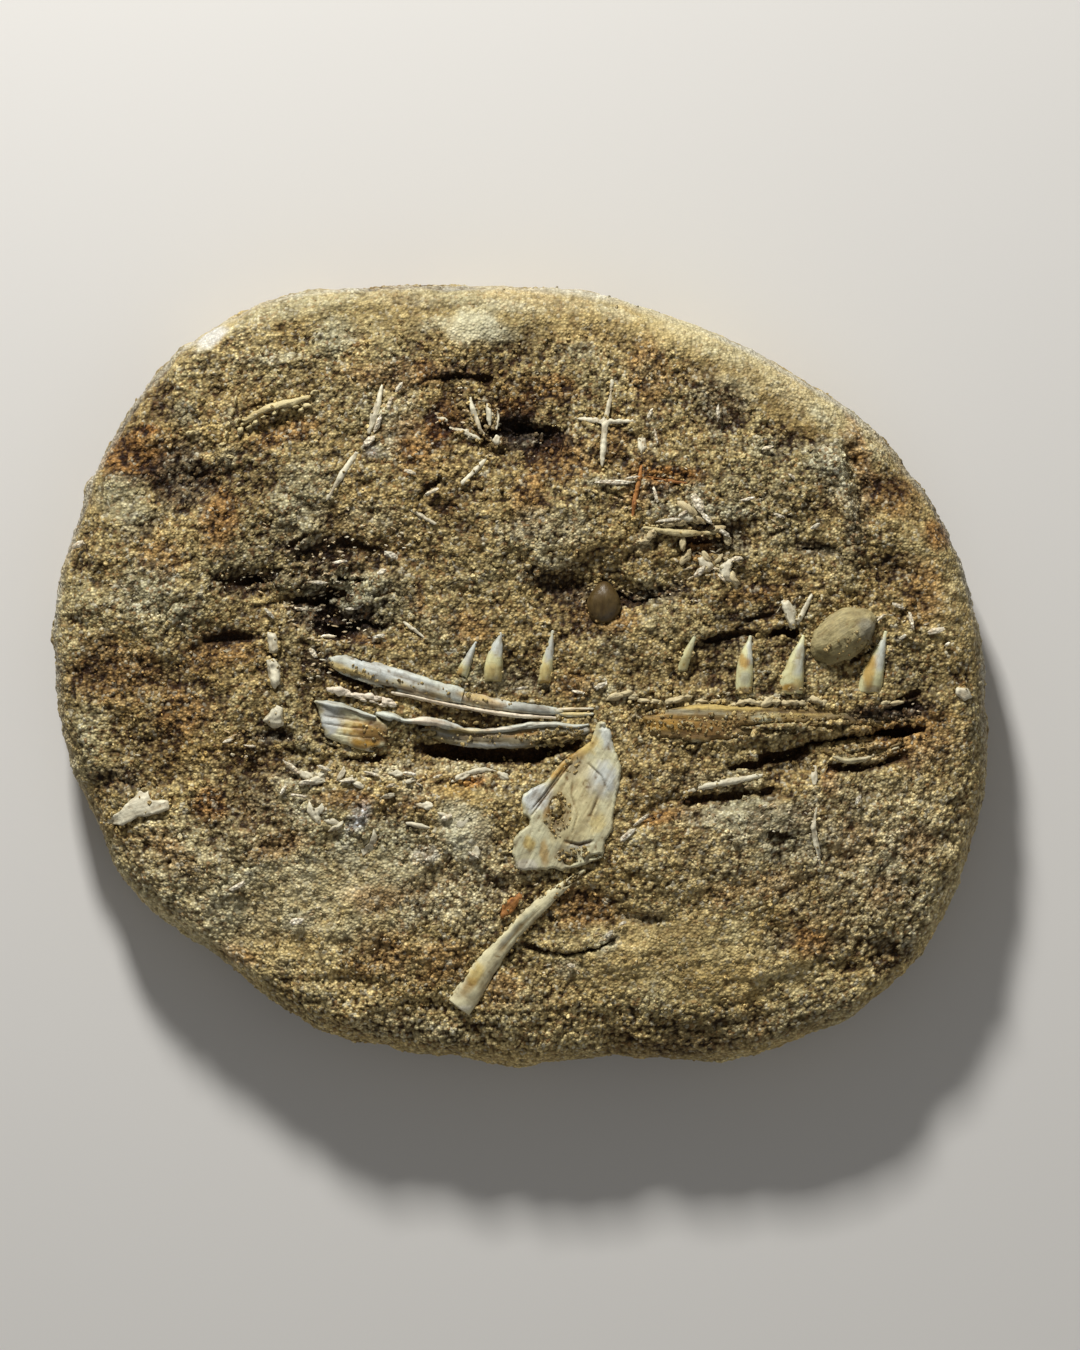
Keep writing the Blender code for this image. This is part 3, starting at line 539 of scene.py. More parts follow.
def sand_over(points):
    """How far sand lies over the bones at each point, and how high it is heaped there."""
    flat = points * (1.0, 1.0, 0.0)
    ragged = 0.6 * swells(flat, 1.7, 97, 2)
    share, height = np.zeros(len(points)), np.zeros(len(points))
    for cx, cy, half_length, half_width, turn, heap in SAND_OVER:
        spot = near(points[:, 0], points[:, 1], [(cx, cy)], 2.5 * max(half_length, half_width))
        far = oval_distance(points[spot, 0], points[spot, 1], cx, cy, half_length, half_width, turn)
        part = np.clip((1.2 - far + ragged[spot]) / 0.4, 0, 1)
        share[spot] = np.maximum(share[spot], part)
        height[spot] = np.maximum(height[spot], part * heap)
    return share, height


print("sand lies over bones in", len(SAND_OVER), "places")

# %% Shape the face
def roughness_at(points):
    """How rough the ground is at points of the net, where 1 is usual."""
    factor = np.ones(len(points))
    ragged = 0.3 * swells(points, 7.0, 77, 2)
    for *oval, change in ROUGHNESS:
        far = oval_distance(points[:, 0], points[:, 1], *oval)
        factor *= 1 + (change - 1) * eased(np.clip((1.3 - far + ragged) / 0.8, 0, 1))
    return factor


def shape_the_face(x, y):
    """The hand-placed shapes of the face."""
    place = np.stack([x, y, 0 * x], axis=-1)
    bend_x, bend_y = (0.9 * swells(place, 4.0, seed, 2) for seed in (21, 22))
    height = np.zeros(len(x))
    for lump in LUMPS:
        add_lump(height, x + bend_x, y + bend_y, lump)
    for ledge in LEDGES:
        add_ledge(height, x + bend_x, y + bend_y, ledge)
    cuts = np.zeros(len(x))
    for groove in GROOVES:
        add_groove(cuts, x + 0.4 * bend_x, y + 0.4 * bend_y, groove)
    return height + cuts, cuts


face_count = len(face_points)
rise, cuts = shape_the_face(net[:face_count, 0], net[:face_count, 1])
net[:face_count, 2] += rise
lattice_x, lattice_y = (grid.ravel() for grid in np.meshgrid(GRID_X, GRID_Y))
face_rise = shape_the_face(lattice_x, lattice_y)[0].reshape(slab_height.shape)
print("face from", net[:face_count, 2].min().round(1), "to", net[:face_count, 2].max().round(1))

# %% [markdown]
# ## Sand grains
# The slab is made of grains about a millimetre across. A bump in the material alone would look
# flat at the rim and vanish in the exported mesh, so the grains are real: each point of the
# net moves out along its own normal by where it lies on its nearest grain. Two sizes of grain
# are laid over each other, and some grains are left out, which gives the small dark pits.

# %% Push the grains out of the net
COARSE_GRAIN = 1.5
FINE_GRAIN = 1.0
COARSE_RISE = 0.27
FINE_RISE = 0.42
GRAIN_REACH = 0.72    # where a grain's cap ends, as a share of its cell
MEAN_CAP = 0.45
UNDER_BONE_SINK = 0.55


def outward(points, quads):
    """The unit normal at each point of a net."""
    cross = np.cross(points[quads[:, 2]] - points[quads[:, 0]],
                     points[quads[:, 3]] - points[quads[:, 1]])
    total = np.zeros_like(points)
    for corner in range(4):
        np.add.at(total, quads[:, corner], cross)
    return total / np.maximum(np.linalg.norm(total, axis=1, keepdims=True), 1e-12)


def grain_cap(distance, least, spread, grain_tone):
    """The height of a round grain, where its tone makes it taller or flatter."""
    return np.sqrt(np.clip(1 - (distance / GRAIN_REACH) ** 2, 0, 1)) * (least + spread * grain_tone)


def relax(points, quads, weight, rounds):
    """Moves points towards the middle of their neighbours, by a weight for each point."""
    ends = np.concatenate([quads[:, [a, (a + 1) % 4]] for a in range(4)])
    count = np.bincount(ends[:, 0], minlength=len(points)) + np.bincount(
        ends[:, 1], minlength=len(points))
    for _ in range(rounds):
        total = np.zeros_like(points)
        for axis in range(3):
            total[:, axis] = np.bincount(
                ends[:, 0], points[ends[:, 1], axis], len(points)) + np.bincount(
                ends[:, 1], points[ends[:, 0], axis], len(points))
        points = points + weight[:, None] * (total / count[:, None] - points)
    return points


rim_share = np.concatenate([
    np.clip((disc_share - 0.93) / 0.06, 0, 1),
    np.repeat(np.clip(1.2 - np.arange(1, SIDE_ROWS + 1) / 12, 0, 1), BORDER)])
rim_share[-BORDER:] = 0
net = relax(net, net_quads, 0.9 * rim_share, 30)
net_angle = np.arctan2(net[:, 1], net[:, 0])
widest = np.interp(net_angle % math.tau, np.append(PROBE_ANGLES, math.tau),
                   np.append(side_reach.max(0), side_reach.max(0)[0]))
to_rim = np.clip(widest - np.hypot(net[:, 0], net[:, 1]), 0, 9) + np.clip(16 - net[:, 2], 0, 9)
normal = outward(net, net_quads)
hold = np.clip((net[:, 2] - 0.2) / 1.6, 0, 1)
under_bone = np.zeros(len(net))
over, heaped = sand_over(net[:face_count])
face_x, face_y = net[:face_count, 0], net[:face_count, 1]
under_bone[:face_count] = read(bone_cover, face_x, face_y) * (1 - over)
rough = roughness_at(net) * (0.6 + 0.4 * np.clip(to_rim / 5, 0, 1))
ground = shape_the_ground(net, rough) * hold * rough**0.7
lift = ground * (1 - 0.7 * under_bone) - UNDER_BONE_SINK * under_bone
base_net = net + normal * lift[:, None]
base_net[:face_count, 2] += heaped * read(bone_rise, face_x, face_y)
normal = outward(base_net, net_quads)

coarse, coarse_tone = grains(base_net, COARSE_GRAIN, 31)
fine, fine_tone = grains(base_net, FINE_GRAIN, 57)
coarse_cap = grain_cap(coarse, 0.35, 0.9, coarse_tone)
fine_cap = grain_cap(fine, 0.3, 1.0, fine_tone)
grain_rise = COARSE_RISE * (coarse_cap - MEAN_CAP) + FINE_RISE * (fine_cap - MEAN_CAP)
grain_rise *= hold * (1 - 0.75 * under_bone) * rough**0.7
net = base_net + normal * grain_rise[:, None]
# Painted shade and dirt in the gaps between grains, stronger on rough ground.
shade_and_dirt = np.clip(1.15 - 0.95 * coarse_cap - 0.95 * fine_cap, 0, 1) * np.clip(rough, 0.3, 1.2)
# Low ground gets more painted shade and dirt.
shade_and_dirt = np.clip(shade_and_dirt + np.clip(-0.35 * ground, 0, 0.4), 0, 1)
# Grooves and cracks get painted shade, darkest at their bottom.
shade_and_dirt[:face_count] = np.clip(shade_and_dirt[:face_count] - 0.9 * cuts, 0, 1)
tone = np.where(coarse_cap > fine_cap * 0.9, coarse_tone, fine_tone)
print("grain rise from", grain_rise.min().round(2), "to", grain_rise.max().round(2), "mm")
print("slab box", net.min(0).round(1), net.max(0).round(1))

# %% [markdown]
# ## Colours of the sand
# Iron in the water that ran through the sand left rust stains, and lime left pale ones. On the
# real slab they lie in patches with soft, broken edges. A painter would lay them on in washes.
# Here each wash is an oval with a colour and a strength, its edge is broken up by swells, and
# the result is kept on the mesh as a colour for each point. The dark washes also paint shade
# into hollows, grooves and below ledges and bones. The material adds the fine detail.

# %% Washes of colour
SAND = (0.500, 0.392, 0.172)
VALLEY_SHADE_BROWN = (0.34, 0.225, 0.08)
CREST_LIT_OLIVE = (0.55, 0.50, 0.28)
RIM_HIGHLIGHT = (0.60, 0.58, 0.47)
PATCH_SHARE = 0.42
LOWER_PAINTED_LIGHT = 0.28
HUE_SPREAD = 1.35
SIDE_TOP = 19.0
WASH_COLOURS = {
    "rust": (0.36, 0.18, 0.045),
    "ochre": (0.44, 0.32, 0.12),
    "cream": (0.70, 0.63, 0.38),
    "white": (0.76, 0.72, 0.58),
    "grey": (0.49, 0.45, 0.27),
    # The dark washes are painted shade as well as dirt: they lie in hollows, grooves and below ledges
    # and bones.
    "dark": (0.13, 0.095, 0.055),
    "sandy": (0.66, 0.51, 0.21),
}
print("colours:", len(WASH_COLOURS))

# %% Washes: colour, x, y, half length, half width, turn in degrees, strength
WASHES = [
    ("cream", 0, 97, 60, 4, 0, 0.35), ("cream", 62, 78, 45, 6, -33, 0.35),
    ("grey", -62, 92, 14, 4, 20, 0.5), ("white", -79, 86.5, 5, 2.6, 35, 0.8),
    ("white", -38, 57, 2, 3, 60, 0.7), ("cream", -36, 66, 2.4, 4, 60, 0.5),
    ("cream", 44, 42, 3, 2, 40, 0.7), ("cream", 40, 37.6, 8, 1.4, 0, 0.6),
    ("rust", 37, 50, 6, 3, -5, 0.7), ("grey", 52, 72, 9, 7, -20, 0.6),
    ("cream", -52, 70, 5, 1.6, 30, 0.5), ("cream", -12, 88, 9.5, 4.5, 0, 0.95),
    ("cream", -22, 89.5, 6, 2, 10, 0.5), ("grey", -47, 86, 6, 5, 0, 0.6),
    ("cream", -62, 80.6, 11, 1.6, 3, 0.6), ("cream", -74, 65, 3, 3.5, 0, 0.8),
    ("cream", -75, 55, 3, 4, 0, 0.8), ("cream", -81, 58.6, 2, 3.6, 30, 0.7),
    ("grey", -87, 67, 4, 4, 0, 0.6), ("ochre", -61, 88, 10, 4, 10, 0.7),
    ("rust", -100, 56, 10, 7, 10, 0.75), ("rust", -95, 62.5, 4, 2, 0, 0.9),
    ("dark", -86, 50, 9, 8, -30, 0.75), ("dark", -97, 37, 6, 3, 20, 0.5),
    ("rust", -76, 39, 6, 9, 0, 0.6), ("grey", -100, 44, 9, 6, -20, 0.6),
    ("rust", -32, 76, 16, 4, 3, 0.65), ("ochre", -16, 72, 8, 3, 0, 0.4),
    ("dark", -15, 77, 9, 2.5, 0, 0.7), ("rust", 4, 73, 11, 4, 0, 0.6), ("rust", -2, 68, 7, 3, 0, 0.7),
    ("dark", 1, 61, 11, 5, -10, 0.95), ("rust", 10, 55, 9, 6, 0, 0.5), ("rust", -27, 59, 9, 8, 0, 0.6),
    ("grey", -34, 57, 4, 4, 0, 0.5), ("ochre", -18, 48, 30, 8, 0, 0.3), ("rust", 2, 42, 5, 10, 0, 0.4),
    ("grey", -55, 48, 9, 9, 0, 0.5), ("grey", -38, 40, 8, 5, 0, 0.4), ("grey", 16, 82, 6, 3, 0, 0.5),
    ("rust", 33, 75, 6, 9, 10, 0.45), ("cream", 24, 92.5, 6, 1.6, -12, 0.5),
    ("cream", -3, 94, 6, 1.4, -10, 0.5), ("rust", 31, 50, 5, 8, 0, 0.6), ("rust", 24, 58, 4, 5, 0, 0.4),
    ("grey", 50, 65, 2.2, 6, 0, 0.6), ("cream", 76, 67, 4, 2, -40, 0.6),
    ("grey", 79, 52, 6, 9, 25, 0.75), ("cream", 80, 53, 2, 8, 25, 0.8),
    ("cream", 84.4, 41, 1.8, 8, 0, 0.6), ("ochre", 74, 62, 2, 3, 0, 0.8),
    ("rust", 86, 56, 3, 10, 15, 0.6), ("rust", 95, 46, 7, 6, 0, 0.5), ("rust", 107, 36, 4, 4, 0, 0.7),
    ("dark", 87, 40, 3, 14, -10, 0.45), ("dark", 75, 32, 6, 2, -8, 0.8),
    ("ochre", 60, 68, 16, 5, -20, 0.3), ("grey", 64, 58, 8, 3, 0, 0.4),
    ("grey", -95, 20, 11, 8, -20, 0.65), ("cream", -93, 15.5, 9, 1.4, -18, 0.6),
    ("cream", -84, 17.5, 6, 1.2, 15, 0.5), ("grey", -70, 31, 6, 4, 0, 0.3),
    ("rust", -104, 0, 14, 10, 0, 0.45), ("rust", -78, 6, 12, 6, 0, 0.5),
    ("ochre", -76, 0, 7, 4, 0, 0.5), ("dark", -70, 23.5, 11, 4, 0, 0.55),
    ("dark", -76, 9.5, 8, 2.2, 0, 0.45), ("dark", -47, 15, 15, 6, 0, 0.9),
    ("dark", -45, 23, 19, 11, 0, 0.5), ("dark", -36, 14, 8, 3, -5, 0.5),
    ("grey", -44, 22, 12, 5, 0, 0.5), ("dark", -51, 33, 11, 2.2, 5, 0.6),
    ("rust", -40, 8.6, 8, 1.6, -10, 0.6), ("rust", -25.6, 19, 1.6, 5, 0, 0.6),
    ("ochre", -6, 18, 5, 2.4, 0, 0.7), ("cream", 9, 28.5, 6, 2.4, -5, 0.5),
    ("dark", 7, 24, 9, 3, -20, 0.6), ("dark", 14, 20, 6, 3, 0, 0.6), ("dark", 33, 20, 10, 3, 5, 0.85),
    ("dark", 46, 32.4, 7, 1.8, 3, 0.8), ("ochre", 46, 36, 9, 2, 3, 0.6),
    ("ochre", 35, 30, 12, 3, 0, 0.35), ("grey", 23, 7, 5, 5, 0, 0.4), ("rust", 14, -3, 7, 4, 0, 0.4),
    ("cream", 25, -5, 6, 2.6, 5, 0.5), ("cream", 64, -6.4, 14, 1.4, 0, 0.55),
    ("cream", 40, -6.4, 12, 1, 0, 0.4), ("dark", 52, 8, 9, 2, 5, 0.5), ("ochre", 68, 26, 6, 4, 0, 0.4),
    ("dark", 62, 15.5, 8, 1.6, 12, 0.5), ("ochre", 99, 15, 8, 2, -20, 0.6),
    ("dark", 97, 27, 6, 4, 0, 0.5), ("rust", 100, -16, 14, 9, 0, 0.5),
    ("dark", 95, -9.6, 11, 3, 7, 0.9), ("ochre", 112, 5, 6, 14, 0, 0.35),
    ("ochre", -80, -22, 15, 8, 0, 0.8), ("rust", -86, -10, 9, 6, 0, 0.5),
    ("grey", -108, -14, 6, 7, 0, 0.5), ("dark", -103, -27, 7, 3, -12, 0.55),
    ("dark", -62, -16, 7, 2, 0, 0.8), ("rust", -70, -36, 3, 6, 0, 0.6),
    ("ochre", -104, -42, 8, 5, -30, 0.4), ("cream", -73, -53, 9, 2.4, 32, 0.5),
    ("cream", -57, -63, 5, 3.6, 20, 0.65), ("grey", -74, -61, 6, 5, 0, 0.5),
    ("rust", -72, -71.5, 7, 2.6, -20, 0.55), ("ochre", -66, -58, 6, 3, 30, 0.5),
    ("ochre", -50, -52, 10, 6, 20, 0.4), ("rust", -35, -57, 10, 4, 5, 0.6),
    ("rust", -35, -72, 10, 7, 0, 0.4), ("grey", -44, -47, 5, 6, 30, 0.5),
    ("grey", -32, -50, 8, 5, 20, 0.4), ("rust", -13, -27.2, 5, 2, 5, 0.85),
    ("ochre", -16, -32, 7, 4, 0, 0.7), ("cream", -13.5, -41, 6, 7, -10, 0.9),
    ("white", -24, -46, 4, 2.4, 20, 0.5), ("rust", -26, -33, 5, 2, 0, 0.4),
    ("rust", 14, -60, 12, 5, -10, 0.5), ("cream", 22, -68, 4.4, 3, 40, 0.85),
    ("cream", 12, -75, 3.5, 3, 0, 0.6), ("rust", -4, -80, 5, 5, 50, 0.5),
    ("grey", 56, -36, 17, 4.4, 6, 0.75), ("cream", 45, -36, 7, 2, 5, 0.4),
    ("rust", 36, -36.6, 6, 1.8, 15, 0.6), ("ochre", 42, -43, 16, 4, 4, 0.5),
    ("grey", 66, -45, 8, 4, 0, 0.5), ("grey", 55, -42, 4, 2.6, 0, 0.5),
    ("rust", 79, -27, 2.4, 4, 0, 0.6), ("cream", 75, -40, 2, 10, 0, 0.6),
    ("cream", 95, -45, 3, 8, -10, 0.5), ("rust", 84, -43, 8, 6, 0, 0.4),
    ("rust", 101, -44, 5, 6, 0, 0.5), ("rust", 93, -56, 5, 5, 30, 0.55),
    ("rust", 74, -68, 6, 4, 0, 0.6), ("ochre", 68, -62, 8, 4, 0, 0.4),
    ("dark", 95, -69, 7, 5, 10, 0.55), ("grey", 66, -68, 5, 3, 0, 0.4),
    ("ochre", 40, -76, 18, 5, 0, 0.5), ("ochre", 55, -81, 8, 3, 10, 0.5),
    ("grey", -30, -90, 16, 4, -5, 0.35), ("dark", 60, -91, 40, 5, 10, 0.3),
    ("ochre", 30, -52, 12, 5, 0, 0.4), ("dark", 31, -62, 6, 2, 0, 0.5), ("dark", -52, 3, 4, 5, 0, 0.5),
    ("ochre", -43, -2.8, 8, 1.4, -18, 0.8), ("sandy", -62, 66, 13, 3.4, 28, 0.8),
    ("sandy", -77, 60, 5, 6, 0, 0.7), ("cream", -30, -52, 34, 15, 0, 0.3),
    ("cream", 60, -46, 24, 10, 0, 0.25), ("sandy", -80, -32, 15, 10, 0, 0.8),
    ("grey", -35, -40, 12, 5, 0, 0.5), ("cream", -18, -58, 14, 8, 0, 0.35),
    ("cream", 66, -40, 14, 6, 0, 0.4), ("cream", 50, -27, 14, 3, 0, 0.35),
    ("cream", 82, 50, 6, 10, 20, 0.35), ("sandy", -4, 74, 12, 5, 0, 0.5),
    ("cream", -55, -35, 5, 4, 0, 0.6), ("cream", -26, -30, 6, 2.4, 10, 0.5),
    ("cream", 6, 37, 14, 5, 0, 0.4), ("sandy", 28, 37, 10, 5, 0, 0.5),
    ("cream", -3, -1.6, 12, 3, -6, 0.45), ("cream", -56, 38, 8, 5, 0, 0.35),
    ("sandy", -104, -14, 9, 8, 0, 0.4), ("cream", -75, -52, 34, 26, 30, 0.34),
    ("cream", 92, -48, 24, 26, 0, 0.32), ("ochre", 54, 73, 12, 7, -20, 0.6),
    ("cream", 52, 71, 9, 6, -20, 0.4), ("cream", -57, -26, 8, 3, 0, 0.6),
    ("cream", -31, -24.6, 9, 2.4, 0, 0.6), ("cream", -13, -24, 10, 2.4, 0, 0.5),
    ("white", -41, -36, 2.6, 5, -30, 0.8), ("ochre", -19, -31, 5, 6, 30, 0.7),
    ("cream", -16, -38, 4, 7, 20, 0.8), ("rust", -79, -33, 5, 5, 0, 0.75),
    ("rust", -45, -32, 9, 2.6, 0, 0.5), ("rust", -62, -44, 9, 4, 20, 0.4),
    ("cream", -66, -33, 4, 4, 0, 0.5), ("cream", 46, 41.4, 12, 2.2, 0, 0.75),
    ("ochre", 46, 46.4, 5, 3, 0, 0.6), ("cream", 44.4, 45.6, 4, 2.4, -40, 0.8),
    ("dark", 50, 37.2, 7, 2, 0, 0.8), ("cream", 33, 35, 5, 2.4, 35, 0.6),
    ("cream", 55.4, 33.4, 3.6, 2.6, -40, 0.8), ("cream", 53, 27, 4, 3, -60, 0.6),
    ("rust", 45, 32, 5, 3, 0, 0.6), ("rust", 42, 51.4, 9, 1.4, -8, 0.75),
    ("dark", 36, 46.4, 5, 1.6, 10, 0.7), ("cream", 24, 48.8, 9, 1.2, 0, 0.7),
    ("cream", 34, 61, 1.6, 7, 0, 0.6), ("cream", -30, 66, 4, 9, -20, 0.35),
    ("rust", -20, 65, 5, 5, 0, 0.6), ("rust", 60, 20, 8, 3, 10, 0.45), ("rust", 22, 14, 9, 4, 0, 0.45),
    ("rust", -14, 12, 8, 4, 0, 0.4), ("rust", -58, 62, 12, 3, 20, 0.5),
    ("rust", 103, 20, 5, 9, 10, 0.45), ("ochre", 92, 28, 8, 6, 0, 0.45),
    ("rust", -92, 30, 6, 5, 0, 0.4), ("rust", 60, -54, 12, 4, 10, 0.35),
    ("rust", -20, -74, 8, 5, 30, 0.45), ("rust", -88, -46, 8, 4, -40, 0.4),
]


print("washes:", len(WASHES))

# %% Paint the sand
def paint(points, ground_colour, washes, edge_size=5.0, seed=71):
    """The colour of each point: a ground colour with oval washes laid over it."""
    colour = np.empty((len(points), 3))
    colour[:] = ground_colour
    ragged = 0.55 * swells(points, edge_size, seed, 3)
    for name, *oval, strength in washes:
        far = oval_distance(points[:, 0], points[:, 1], *oval)
        share = (strength * eased(np.clip((1.25 - far + ragged) / 0.7, 0, 1)))[:, None]
        colour = colour * (1 - share) + np.array(WASH_COLOURS[name]) * share
    return colour


# Below SIDE_TOP the side is unrolled outwards, so that no stain runs straight down it
unrolled = base_net.copy()
far_out = np.maximum(np.hypot(base_net[:, 0], base_net[:, 1]), 1)[:, None]
unrolled[:, :2] *= 1 + np.clip(SIDE_TOP - base_net[:, 2:3], 0, None) / far_out
tint = paint(unrolled, SAND, WASHES)
warm = swells(base_net, 14.0, 81, 3)[:, None]
tint = tint * (1 + 0.25 * warm * np.array([1.0, 0.9, 0.8]))
# Painted light: the slab is lightened towards its lower edge.
tint = tint * (1 + LOWER_PAINTED_LIGHT * np.clip((10 - net[:, 1:2]) / 90, 0, 1))
# Brown and olive patches follow random swells and partly the relief: low ground is painted browner as
# shade, high ground paler olive as light.
patch = 1.5 * swells(base_net, 11.0, 86, 3) + 0.5 * ground
for side, colour in ((-1, VALLEY_SHADE_BROWN), (1, CREST_LIT_OLIVE)):
    share = PATCH_SHARE * np.clip(side * patch - 0.1, 0, 1)[:, None]
    tint = tint * (1 - share) + np.array(colour) * share
# A painted highlight: a pale band along the rim, strongest on the upper half, which faces the lamp.
rim_highlight = np.clip((2.2 - to_rim) / 1.4, 0, 1) * np.clip(0.9 + net[:, 1] / 60, 0, 1)
rim_highlight = (0.5 * rim_highlight * np.clip(1 + swells(base_net, 9.0, 83, 2), 0, 1))[:, None]
tint = tint * (1 - rim_highlight) + np.array(RIM_HIGHLIGHT) * rim_highlight
# The hues are drawn apart, as rust, cream and grey-green lie side by side in this sand
light = tint.mean(1, keepdims=True)
hue = tint / light
tint = light * hue.mean(0) * (hue / hue.mean(0)) ** HUE_SPREAD
# Where the wash is darker, more painted shade and dirt go into the gaps.
shadow = np.clip(1 - tint.mean(1) / np.mean(SAND), 0, 1)
shade_and_dirt = np.clip(shade_and_dirt * (1 + 1.6 * shadow) + 0.25 * shadow, 0, 1)
rugged = np.clip((rough - 0.3) / 0.7, 0, 1)
print("mean sand colour:", tint.mean(0).round(3))

# %% [markdown]
# ## The sand's material
# The colour on the mesh is only the wash. The material multiplies it by each grain's own tone,
# paints shade and dirt into the gaps between grains, and adds specks of pale and dark
# minerals too small for the mesh. A fine bump gives each grain its own rough skin.

# %% Tools for materials
def add_node(material, kind, inputs=None, **settings):
    """A node with its sockets set to values, or joined to other nodes' outputs."""
    tree = material.node_tree
    node = tree.nodes.new(kind)
    for key, value in settings.items():
        setattr(node, key, value)
    for key, value in (inputs or {}).items():
        if isinstance(value, bpy.types.NodeSocket):
            tree.links.new(value, node.inputs[key])
        else:
            node.inputs[key].default_value = value
    return node


def join(material, output, shader, socket):
    material.node_tree.links.new(output, shader.inputs[socket])


def multiply(material, first, second):
    return add_node(material, "ShaderNodeMix", {6: first, 7: second, 0: 1.0},
                    data_type="RGBA", blend_type="MULTIPLY").outputs[2]


def grey_range(material, value, low, high, from_low=0.0, from_high=1.0):
    """A grey level from a value, for multiplying a colour."""
    level = add_node(material, "ShaderNodeMapRange", {
        "Value": value, "From Min": from_low, "From Max": from_high,
        "To Min": low, "To Max": high})
    return level.outputs[0]


def blend(material, share, low, high):
    """A colour between two others. Each is fixed, or comes from another node."""
    low, high = ((*end, 1.0) if isinstance(end, tuple) else end for end in (low, high))
    return add_node(material, "ShaderNodeMix", {6: low, 7: high, 0: share},
                    data_type="RGBA").outputs[2]


def from_mesh(material, name, output="Fac"):
    """A value that the mesh keeps on its points."""
    return add_node(material, "ShaderNodeAttribute", attribute_name=name).outputs[output]


def noise(material, vector, scale, detail, roughness=0.5):
    return add_node(material, "ShaderNodeTexNoise", {
        "Vector": vector, "Scale": scale, "Detail": detail, "Roughness": roughness}).outputs["Fac"]


def bump(material, height, strength, distance, under=None):
    inputs = {"Height": height, "Strength": strength, "Distance": distance}
    if under:
        inputs["Normal"] = under
    return add_node(material, "ShaderNodeBump", inputs).outputs[0]


def new_material(name):
    material = bpy.data.materials.new(name)
    material.use_nodes = True
    return material, material.node_tree.nodes["Principled BSDF"]


print("Blender's material nodes can be added, joined and blended")

# %% Make the sand
def make_sand(name):
    material, shader = new_material(name)
    place = add_node(material, "ShaderNodeTexCoord").outputs["Object"]
    wash = from_mesh(material, "tint", "Color")
    mottle = noise(material, place, 500.0, 5.0, 0.7)
    specks = add_node(material, "ShaderNodeTexVoronoi", {
        "Vector": place, "Scale": 1300.0, "Randomness": 1.0}, feature="F1")
    shade = add_node(material, "ShaderNodeSeparateColor", {"Color": specks.outputs["Color"]})
    from_speck = specks.outputs["Distance"]
    grain_tone = blend(material, from_mesh(material, "tone"), (0.62, 0.56, 0.44), (1.3, 1.33, 1.42))
    speck_tone = blend(material, shade.outputs[0], (0.66, 0.60, 0.48), (1.28, 1.3, 1.38))
    colour = multiply(material, wash, grain_tone)
    colour = multiply(material, colour, grey_range(material, mottle, 0.6, 1.4, 0.3, 0.7))
    colour = multiply(material, colour, speck_tone)
    # Painted shade between the tiny grains: darker away from each speck's middle.
    colour = multiply(material, colour, grey_range(material, from_speck, 1.12, 0.5, 0.25, 0.75))
    pale_speck = grey_range(material, shade.outputs[1], 0.0, 0.7, 0.88, 0.96)
    colour = blend(material, pale_speck, colour, (0.66, 0.62, 0.47))
    rust_speck = grey_range(material, shade.outputs[1], 0.7, 0.0, 0.05, 0.16)
    colour = blend(material, rust_speck, colour, (0.26, 0.13, 0.04))
    rugged = grey_range(material, from_mesh(material, "rugged"), 0.35, 1.0)
    colour = blend(material, rugged, wash, colour)
    # Painted shade and dirt from the mesh darken the gaps, grooves and low ground.
    painted_shade_and_dirt = blend(material, from_mesh(material, "shade_and_dirt"), (1.0, 1.0, 1.0), (0.085, 0.05, 0.018))
    join(material, multiply(material, colour, painted_shade_and_dirt), shader, "Base Color")
    shader.inputs["Specular IOR Level"].default_value = 0.25
    join(material, grey_range(material, shade.outputs[2], 0.5, 1.0), shader, "Roughness")
    round_grain = grey_range(material, from_speck, 1.0, 0.0, 0.0, 0.8)
    skin = bump(material, mottle, 0.4, 0.0003, bump(material, round_grain, 0.8, 0.0004))
    join(material, skin, shader, "Normal")
    return material


sand_material = make_sand("cemented_sand")
print("sand material nodes:", len(sand_material.node_tree.nodes))

# %% [markdown]
# ## Cutting the net into pieces
# The whole net has more triangles than one piece should have, so the face is cut into four
# quarters and the side and the back are pieces of their own. They touch along shared points.

# %% Make the slab's pieces
def make_piece(name, points, faces, material, nodes=(), values=None, smooth=True):
    """An object from points in millimetres, with values kept on its points."""
    data = bpy.data.meshes.new(name)
    data.from_pydata((np.asarray(points) * MM).tolist(), [], faces)
    for key, value in (values or {}).items():
        value = np.asarray(value, np.float32)
        if value.ndim == 2 and key != "way":
            layer = data.attributes.new(key, "FLOAT_COLOR", "POINT")
            flat = np.concatenate([value, np.ones((len(value), 1), np.float32)], axis=1)
            layer.data.foreach_set("color", flat.ravel())
        elif value.ndim == 2:
            data.attributes.new(key, "FLOAT_VECTOR", "POINT").data.foreach_set(
                "vector", value.ravel())
        else:
            data.attributes.new(key, "FLOAT", "POINT").data.foreach_set("value", value)
    data.materials.append(material)
    if smooth:
        data.shade_smooth()
    thing = bpy.data.objects.new(name, data)
    bpy.context.scene.collection.objects.link(thing)
    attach(thing, "root")
    if nodes:
        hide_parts(*nodes)
    return thing


def cut_piece(name, quads, nodes=()):
    used, renumbered = np.unique(quads, return_inverse=True)
    faces = renumbered.reshape(quads.shape).tolist()
    values = {"tint": tint[used], "tone": tone[used], "shade_and_dirt": shade_and_dirt[used], "rugged": rugged[used]}
    return make_piece(name, net[used], faces, sand_material, nodes, values)


half = FACE_CELLS // 2
squares = face_quads.reshape(FACE_CELLS, FACE_CELLS, 4)
quarters = {
    "lower_left": squares[:half, :half], "lower_right": squares[half:, :half],
    "upper_left": squares[:half, half:], "upper_right": squares[half:, half:],
}
for name, quads in quarters.items():
    cut_piece("slab_face_" + name, quads.reshape(-1, 4), ("matrix",))
cut_piece("slab_side", side_quads, ("matrix",))

